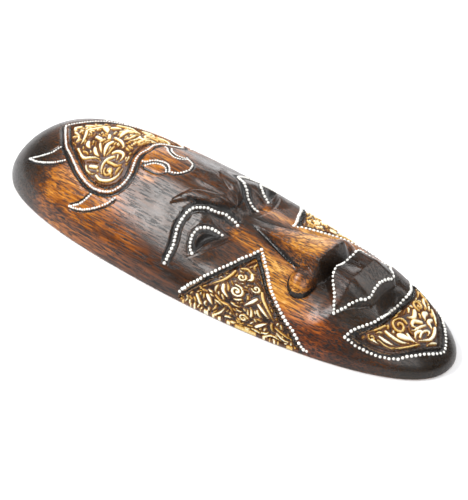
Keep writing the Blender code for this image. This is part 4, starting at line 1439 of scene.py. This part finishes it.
@dataclass
class NodeSheet:
    """Short ways to set nodes into one tree."""

    tree: bpy.types.NodeTree

    def add(self, kind: str, **values: object) -> bpy.types.Node:
        """Add a node and set its sockets, as set does."""
        return self.set(self.tree.nodes.new(kind), **values)

    def set(self, node: bpy.types.Node, **values: object) -> bpy.types.Node:
        """Set sockets of a node.

        Args:
            node: The node.
            **values: Socket names, with _ for spaces, and what feeds them.

        Returns:
            The node.
        """
        for name, value in values.items():
            self.feed(node.inputs[name.replace("_", " ")], value)
        return node

    def feed(self, socket: Socket, value: object) -> None:
        """Link a socket to another one, or set its plain value."""
        if isinstance(value, Socket):
            self.tree.links.new(value, socket)
        else:
            socket.default_value = value

    def maths(self, kind: str, first: object, second: object = 0.0, clamp: bool = False) -> Socket:
        """Work out one number from two.

        Args:
            kind: Name of the operation.
            first: First number or socket.
            second: Second number or socket.
            clamp: Whether to hold the result between 0 and 1.

        Returns:
            The result.
        """
        node = self.tree.nodes.new("ShaderNodeMath")
        node.operation = kind
        node.use_clamp = clamp
        self.feed(node.inputs[0], first)
        self.feed(node.inputs[1], second)
        return node.outputs[0]

    def times(self, first: object, second: object) -> Socket:
        """Multiply two numbers."""
        return self.maths("MULTIPLY", first, second)

    def plus(self, first: object, second: object, clamp: bool = False) -> Socket:
        """Add two numbers."""
        return self.maths("ADD", first, second, clamp)

    def minus(self, first: object, second: object, clamp: bool = False) -> Socket:
        """Subtract the second number from the first."""
        return self.maths("SUBTRACT", first, second, clamp)

    def band(self, value: Socket, low: float, high: float, start: float = 0.0,
             end: float = 1.0) -> Socket:
        """Map a range of numbers softly on another one.

        Args:
            value: Number to read.
            low: Where the range starts.
            high: Where the range ends.
            start: Result at the start.
            end: Result at the end.

        Returns:
            The mapped number.
        """
        node = self.add("ShaderNodeMapRange", Value=value, From_Min=low, From_Max=high,
                        To_Min=start, To_Max=end)
        node.interpolation_type = "SMOOTHSTEP"
        return node.outputs["Result"]

    def mix(self, share: object, first: object, second: object, way: str = "MIX") -> Socket:
        """Mix two colours.

        Args:
            share: Share of the second colour.
            first: First colour or socket.
            second: Second colour or socket.
            way: How the second one is laid on.

        Returns:
            The mixed colour.
        """
        node = self.tree.nodes.new("ShaderNodeMix")
        node.data_type = "RGBA"
        node.blend_type = way
        self.feed(node.inputs["Factor"], share)
        for socket, value in ((node.inputs[6], first), (node.inputs[7], second)):
            self.feed(socket, value if isinstance(value, Socket) else (*value, 1.0))
        return node.outputs[2]

    def ramp(self, value: Socket, stops: Sequence[tuple[float, Colour]]) -> Socket:
        """Turn a number into a colour.

        Args:
            value: Number from 0 to 1.
            stops: Places on the ramp with their colours.

        Returns:
            The colour.
        """
        node = self.tree.nodes.new("ShaderNodeValToRGB")
        points = node.color_ramp.elements
        while len(points) < len(stops):
            points.new(0.5)
        for point, (place, colour) in zip(points, stops):
            point.position = place
            point.color = (*colour, 1.0)
        self.feed(node.inputs["Fac"], value)
        return node.outputs["Color"]

    def stretched(self, vector: Socket, scale: Colour, turn: float = 0.0) -> Socket:
        """Stretch and turn the places that a pattern reads."""
        return self.add("ShaderNodeMapping", Vector=vector, Scale=scale,
                        Rotation=(0.0, 0.0, turn)).outputs["Vector"]

    def noise(self, vector: Socket, scale: float, detail: float = 3.0, rough: float = 0.5,
              swirl: float = 0.0) -> Socket:
        """Read a cloudy pattern.

        Args:
            vector: Places to read at.
            scale: Clouds a metre.
            detail: Finer layers.
            rough: Strength of the finer layers.
            swirl: How much the pattern twists.

        Returns:
            A number about 0.5.
        """
        return self.add("ShaderNodeTexNoise", Vector=vector, Scale=scale, Detail=detail,
                        Roughness=rough, Distortion=swirl).outputs["Fac"]

    def attribute(self, name: str) -> Socket:
        """Read a value that the mesh carries."""
        node = self.tree.nodes.new("ShaderNodeAttribute")
        node.attribute_name = name
        return node.outputs["Fac"]

    def places(self) -> Socket:
        """Read the places on the object, in metres."""
        return self.tree.nodes.new("ShaderNodeTexCoord").outputs["Object"]


def node_group(name: str, inputs: dict[str, str],
               outputs: dict[str, str]) -> tuple[NodeSheet, bpy.types.Node, bpy.types.Node]:
    """Start a node group.

    Args:
        name: Name of the group.
        inputs: Names of what goes in, with their kinds.
        outputs: Names of what comes out, with their kinds.

    Returns:
        The sheet of the group, its input node and its output node.
    """
    tree = bpy.data.node_groups.new(name, "ShaderNodeTree")
    for way, sockets in (("INPUT", inputs), ("OUTPUT", outputs)):
        for label, kind in sockets.items():
            tree.interface.new_socket(name=label, in_out=way, socket_type="NodeSocket" + kind)
    sheet = NodeSheet(tree)
    return sheet, tree.nodes.new("NodeGroupInput"), tree.nodes.new("NodeGroupOutput")


def grain_group() -> bpy.types.NodeTree:
    """Make the grain of the wood: figure, fibre and open pores along the length.

    Returns:
        The node group, read in metres.
    """
    sheet, into, out = node_group(
        "wood_grain", {"Vector": "Vector"},
        {"Figure": "Float", "Fibre": "Float", "Pores": "Float", "Height": "Float"})
    vector = into.outputs["Vector"]
    broad = sheet.noise(sheet.stretched(vector, (1.0, 0.13, 1.0), GRAIN_TURN), 150.0, 4.0, 0.58, 0.5)
    streak = sheet.noise(sheet.stretched(vector, (1.0, 0.05, 1.0), GRAIN_TURN), 820.0, 3.0, 0.6, 0.3)
    streak = sheet.band(streak, 0.3, 0.66)
    figure = sheet.plus(sheet.times(broad, 0.66), sheet.times(streak, 0.34))
    fibre = sheet.noise(sheet.stretched(vector, (1.0, 0.045, 1.0), GRAIN_TURN), 1500.0, 2.0, 0.6)
    cells = sheet.add("ShaderNodeTexVoronoi", Scale=1.0, Randomness=1.0,
                      Vector=sheet.stretched(vector, (1500.0, 120.0, 1500.0), GRAIN_TURN))
    size = sheet.noise(vector, 900.0, 1.0)
    open_pore = sheet.band(sheet.minus(cells.outputs["Distance"], sheet.times(size, 0.34)), 0.3, 0.16)
    patch = sheet.band(sheet.noise(sheet.stretched(vector, (1.0, 0.3, 1.0)), 90.0, 2.0), 0.24, 0.5)
    pores = sheet.times(open_pore, patch)
    height = sheet.minus(sheet.times(fibre, 0.5), pores)
    sheet.set(out, Figure=figure, Fibre=fibre, Pores=pores, Height=height)
    return sheet.tree


STAIN_STOPS: tuple[tuple[float, Colour], ...] = (
    (0.00, (0.007, 0.005, 0.004)), (0.13, (0.020, 0.012, 0.006)), (0.26, (0.050, 0.021, 0.008)),
    (0.40, (0.115, 0.040, 0.009)), (0.54, (0.270, 0.092, 0.010)), (0.68, (0.430, 0.175, 0.018)),
    (0.84, (0.620, 0.310, 0.048)), (1.00, (0.780, 0.500, 0.170)))


def stain_group() -> bpy.types.NodeTree:
    """Make the stain, from charcoal through red-brown to pale amber.

    Returns:
        The node group.
    """
    sheet, into, out = node_group("rubbed_stain", {"Tone": "Float", "Red": "Float"}, {"Color": "Color"})
    colour = sheet.ramp(into.outputs["Tone"], STAIN_STOPS)
    redder = sheet.mix(1.0, colour, (1.12, 0.72, 0.80), "MULTIPLY")
    sheet.set(out, Color=sheet.mix(into.outputs["Red"], colour, redder))
    return sheet.tree


def smudge_group() -> bpy.types.NodeTree:
    """Make the uneven gloss of a wiped and handled varnish.

    Returns:
        The node group.
    """
    sheet, into, out = node_group("uneven_gloss", {"Vector": "Vector"},
                                  {"Gloss": "Float", "Dust": "Float"})
    wide = sheet.noise(into.outputs["Vector"], 60.0, 3.0, 0.6)
    fine = sheet.noise(into.outputs["Vector"], 700.0, 2.0, 0.6)
    sheet.set(out, Gloss=sheet.plus(sheet.times(wide, 0.7), sheet.times(fine, 0.3)),
              Dust=sheet.band(fine, 0.58, 0.72))
    return sheet.tree


@dataclass
class Finishes:
    """The effects that the finishes of the mask share."""

    grain: bpy.types.NodeTree
    stain_and_painted_light: bpy.types.NodeTree
    gloss: bpy.types.NodeTree

    @classmethod
    def make(cls) -> "Finishes":
        """Build the shared effects."""
        return cls(grain_group(), stain_group(), smudge_group())

    def use(self, sheet: NodeSheet, group: bpy.types.NodeTree, **values: object) -> bpy.types.Node:
        """Place one shared effect in a material."""
        node = sheet.add("ShaderNodeGroup")
        node.node_tree = group
        return sheet.set(node, **values)

    def bump(self, sheet: NodeSheet, height: Socket, distance: float, strength: float) -> Socket:
        """Turn a height into a shaded relief."""
        return sheet.add("ShaderNodeBump", Height=height, Distance=distance,
                         Strength=strength).outputs["Normal"]


@dataclass(frozen=True)
class Finish:
    """One finish of the mask; each kind works out its own look."""

    name: str = "plain"
    roughness: float = 0.5

    def make(self, kit: Finishes) -> bpy.types.Material:
        """Build the material.

        Args:
            kit: The shared effects.

        Returns:
            The material.
        """
        coat = bpy.data.materials.new(self.name)
        coat.use_nodes = True
        sheet = NodeSheet(coat.node_tree)
        look = self.look(kit, sheet, sheet.places())
        sheet.set(coat.node_tree.nodes["Principled BSDF"], **look)
        return coat

    def look(self, kit: Finishes, sheet: NodeSheet, places: Socket) -> dict[str, object]:
        """Work out what feeds the shader, by socket name."""
        raise NotImplementedError

    def uneven(self, sheet: NodeSheet, gloss: Socket, limits: Place, swing: Place) -> Socket:
        """Make the roughness follow the gloss, by a little less and more."""
        return sheet.band(gloss, *limits, self.roughness - swing[0], self.roughness + swing[1])


@dataclass(frozen=True)
class VarnishedWood(Finish):
    """Stained wood of the face under gloss varnish, with black cuts."""

    name: str = "varnished_wood"
    roughness: float = 0.29
    figure: float = 1.0
    fibre: float = 0.22
    pore_dark: float = 0.4
    relief: float = 0.1 * MM

    def look(self, kit: Finishes, sheet: NodeSheet, places: Socket) -> dict[str, object]:
        """Rub the stain, with its patches of painted shade and highlight, in along the grain and lay the
        black on; along the nose side the black is partly painted shade.
        """
        grain = kit.use(sheet, kit.grain, Vector=places).outputs
        gloss = kit.use(sheet, kit.gloss, Vector=places).outputs["Gloss"]
        tone = sheet.attribute("tone")
        swing = sheet.times(sheet.minus(grain["Figure"], 0.5),
                            sheet.band(tone, 0.0, 0.6, 0.22 * self.figure, self.figure))
        tone = sheet.plus(tone, swing)
        tone = sheet.plus(tone, sheet.times(sheet.minus(grain["Fibre"], 0.5), self.fibre))
        tone = sheet.minus(tone, sheet.times(grain["Pores"], self.pore_dark), True)
        colour = kit.use(sheet, kit.stain_and_painted_light, Tone=tone, Red=sheet.attribute("red")).outputs["Color"]
        brush = sheet.times(sheet.minus(gloss, 0.5), 0.5)
        paint = sheet.band(sheet.plus(sheet.attribute("paint"), brush), 0.35, 0.62)
        return {"Base Color": sheet.mix(paint, colour, BLACK_PAINT),
                "Roughness": sheet.plus(self.uneven(sheet, gloss, (0.35, 0.68), (0.05, 0.08)),
                                        sheet.times(grain["Pores"], 0.18)),
                "Normal": kit.bump(sheet, grain["Height"], self.relief, 0.55),
                "IOR": 1.4, "Coat Weight": 0.12, "Coat Roughness": 0.15}


@dataclass(frozen=True)
class WashedScrollwork(Finish):
    """Carved leaves with cream and gold rubbed over brown."""

    name: str = "washed_scrollwork"
    roughness: float = 0.38
    hollow: Colour = (0.010, 0.006, 0.004)
    red_hollow: Colour = (0.042, 0.012, 0.005)
    flank: Colour = (0.150, 0.045, 0.008)
    gold: Colour = (0.600, 0.290, 0.030)
    cream: Colour = (0.860, 0.690, 0.300)
    white: Colour = (0.930, 0.900, 0.720)

    def look(self, kit: Finishes, sheet: NodeSheet, places: Socket) -> dict[str, object]:
        """Rub the wash off the flanks and darken the ground between leaves."""
        grain = kit.use(sheet, kit.grain, Vector=places).outputs
        gloss = kit.use(sheet, kit.gloss, Vector=places).outputs["Gloss"]
        speck = sheet.noise(places, 1300.0, 3.0, 0.65)
        wash = sheet.attribute("wash")
        worn = sheet.plus(wash, sheet.times(sheet.minus(speck, 0.5),
                                            sheet.band(wash, 0.02, 0.4, 0.0, 0.55)), True)
        colour = sheet.ramp(worn, ((0.0, self.hollow), (0.16, self.flank), (0.38, self.gold),
                                   (0.64, self.cream), (0.90, self.white)))
        warm = sheet.band(sheet.attribute("warmth"), 0.47, 0.58)
        ground = sheet.mix(warm, self.hollow, self.red_hollow)
        colour = sheet.mix(sheet.band(worn, 0.15, 0.03), colour, ground)
        depth = sheet.band(sheet.attribute("relief"), -0.95, -0.35)
        colour = sheet.mix(sheet.times(sheet.band(wash, 0.22, 0.02), sheet.times(depth, 0.25)),
                           colour, self.flank)
        paint = sheet.band(sheet.attribute("paint"), 0.3, 0.6)
        return {"Base Color": sheet.mix(paint, colour, BLACK_PAINT),
                "Roughness": self.uneven(sheet, gloss, (0.35, 0.68), (0.10, 0.12)),
                "Normal": kit.bump(sheet, sheet.plus(sheet.times(speck, 0.8), grain["Height"]),
                                   0.08 * MM, 0.6),
                "IOR": 1.42, "Coat Weight": 0.15, "Coat Roughness": 0.2}


@dataclass(frozen=True)
class BareWood(Finish):
    """Matt wood of the back, left as the gouge cut it."""

    name: str = "bare_wood"
    roughness: float = 0.78
    pale: Colour = (0.330, 0.195, 0.100)
    dark: Colour = (0.150, 0.080, 0.040)
    dust: Colour = (0.42, 0.30, 0.19)

    def look(self, kit: Finishes, sheet: NodeSheet, places: Socket) -> dict[str, object]:
        """Show the plain grain with a little dust."""
        grain = kit.use(sheet, kit.grain, Vector=places).outputs
        gloss = kit.use(sheet, kit.gloss, Vector=places).outputs
        share = sheet.plus(sheet.band(grain["Figure"], 0.3, 0.7, 0.0, 0.75),
                           sheet.times(grain["Pores"], 0.5), True)
        colour = sheet.mix(share, self.pale, self.dark)
        return {"Base Color": sheet.mix(sheet.times(gloss["Dust"], 0.25), colour, self.dust),
                "Roughness": self.uneven(sheet, gloss["Gloss"], (0.3, 0.7), (0.08, 0.12)),
                "Normal": kit.bump(sheet, grain["Height"], 0.2 * MM, 0.8)}


@dataclass(frozen=True)
class DotPaint(Finish):
    """Thick off-white paint of the dots, speckled with a duller aged colour."""

    name: str = "dot_paint"
    roughness: float = 0.42
    fresh: Colour = (0.920, 0.910, 0.860)
    aged: Colour = (0.640, 0.560, 0.430)

    def look(self, kit: Finishes, sheet: NodeSheet, places: Socket) -> dict[str, object]:
        """Speckle the paint."""
        gloss = kit.use(sheet, kit.gloss, Vector=places).outputs
        speck = sheet.noise(places, 1100.0, 2.0, 0.6)
        return {"Base Color": sheet.mix(sheet.band(speck, 0.54, 0.82, 0.0, 0.45), self.fresh, self.aged),
                "Roughness": self.uneven(sheet, gloss["Gloss"], (0.3, 0.7), (0.10, 0.15)),
                "Normal": kit.bump(sheet, speck, 0.05 * MM, 0.6)}


@dataclass(frozen=True)
class SoftBox:
    """A flat light that looks at the mask: distance in metres, power in watts."""

    name: str
    way: Colour
    far: float
    size: Place
    power: float

    def hang(self) -> None:
        """Hang the light."""
        lamp = bpy.data.lights.new(self.name, "AREA")
        lamp.shape = "RECTANGLE"
        lamp.size, lamp.size_y = self.size
        lamp.energy = self.power
        item = bpy.data.objects.new(self.name, lamp)
        item.location = Vector(self.way).normalized() * self.far
        item.rotation_euler = item.location.to_track_quat("Z", "Y").to_euler()
        bpy.context.scene.collection.objects.link(item)


SOFT_BOXES = (
    SoftBox("sheen_box", (-0.333, 0.534, 0.777), 1.3, (0.68, 0.46), 14.5),
    SoftBox("large_box", (0.64, -0.3, 0.707), 1.3, (0.9, 0.9), 8.0),
    SoftBox("top_box", (0.25, 0.05, 0.97), 1.4, (0.7, 0.7), 3.4),
    SoftBox("lip_box", (-0.65, 0.44, 0.62), 1.3, (0.2, 0.2), 1.6),
    SoftBox("fill_box", (-0.52, -0.5, 0.69), 1.4, (0.9, 0.9), 10.0),
    SoftBox("back_box", (0.709, 0.616, 0.342), 1.5, (0.9, 0.5), 4.6),
)


@dataclass
class Studio:
    """White table, soft boxes and the camera of the photo."""

    ground: float = 1.6
    camera_spin: float = -0.8533911
    camera_lift: float = 0.6459109
    camera_roll: float = -0.0062026
    distance: float = 0.7186702
    look_at: tuple[float, float, float] = (0.0, 0.0, 0.012)
    focus_px: float = 1303.4578
    centre_px: Place = (220.8255, 232.1201)
    picture: tuple[int, int] = (468, 500)
    sensor: float = 36.0

    def build(self) -> None:
        """Set up the ground, the lights and the camera."""
        self._ground()
        self._world()
        for box in SOFT_BOXES:
            box.hang()
        self._camera()

    def _ground(self) -> None:
        """Lay the white table."""
        deselect()
        bpy.ops.mesh.primitive_plane_add(size=2.0 * self.ground, location=(0.0, 0.0, -0.0002))
        table = bpy.context.active_object
        table.name = "white_table"
        paper = bpy.data.materials.new("white_paper")
        paper.use_nodes = True
        NodeSheet(paper.node_tree).set(paper.node_tree.nodes["Principled BSDF"],
                                       Base_Color=(0.93, 0.93, 0.94, 1.0), Roughness=0.8)
        table.data.materials.append(paper)

    def _world(self) -> None:
        """Fill the room with even white light."""
        world = bpy.data.worlds.new("studio")
        bpy.context.scene.world = world
        world.use_nodes = True
        NodeSheet(world.node_tree).set(world.node_tree.nodes["Background"],
                                       Color=(0.98, 0.98, 1.0, 1.0), Strength=0.12)

    def _camera(self) -> None:
        """Put the camera where the photo was taken from."""
        spin, lift, roll = self.camera_spin, self.camera_lift, self.camera_roll
        back = Vector((math.sin(spin) * math.cos(lift), -math.cos(spin) * math.cos(lift),
                       math.sin(lift)))
        right = Vector((math.cos(spin), math.sin(spin), 0.0))
        up = back.cross(right)
        turned_right = math.cos(roll) * right + math.sin(roll) * up
        turned_up = -math.sin(roll) * right + math.cos(roll) * up
        frame = Matrix((turned_right, turned_up, back)).transposed().to_4x4()
        frame.translation = back * self.distance + Vector(self.look_at)
        lens = bpy.data.cameras.new("camera")
        wide, high = self.picture
        lens.sensor_width = self.sensor
        lens.lens = self.focus_px / high * self.sensor
        lens.shift_x = (0.5 * wide - self.centre_px[0]) / high
        lens.shift_y = (self.centre_px[1] - 0.5 * high) / high
        lens.clip_start = 0.01
        item = bpy.data.objects.new("camera", lens)
        item.matrix_world = frame
        scene = bpy.context.scene
        scene.collection.objects.link(item)
        scene.camera = item
        scene.view_settings.view_transform = "Standard"


def main() -> None:
    """Build the mask, dress it and set up the studio."""
    logging.basicConfig(level=logging.INFO, format="%(name)s: %(message)s")
    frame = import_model()
    LOG.info("loaded %s", sorted(frame) if isinstance(frame, dict) else "frame")
    form = MaskForm()
    carving = Carving(form)
    mask = MaskBlock(form, carving).build()
    kit = Finishes.make()
    for finish in (VarnishedWood(), WashedScrollwork(), BareWood()):
        mask.data.materials.append(finish.make(kit))
    paint = DotPaint().make(kit)
    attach(mask, "root")
    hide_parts("wooden_mask")
    LOG.info("%s: %d faces", mask.name, len(mask.data.polygons))
    for row in PaintDots(form, carving).build():
        row.data.materials.append(paint)
        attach(row, "root")
        LOG.info("%s: %d faces", row.name, len(row.data.polygons))
    Studio().build()


if __name__ == "__main__":
    main()
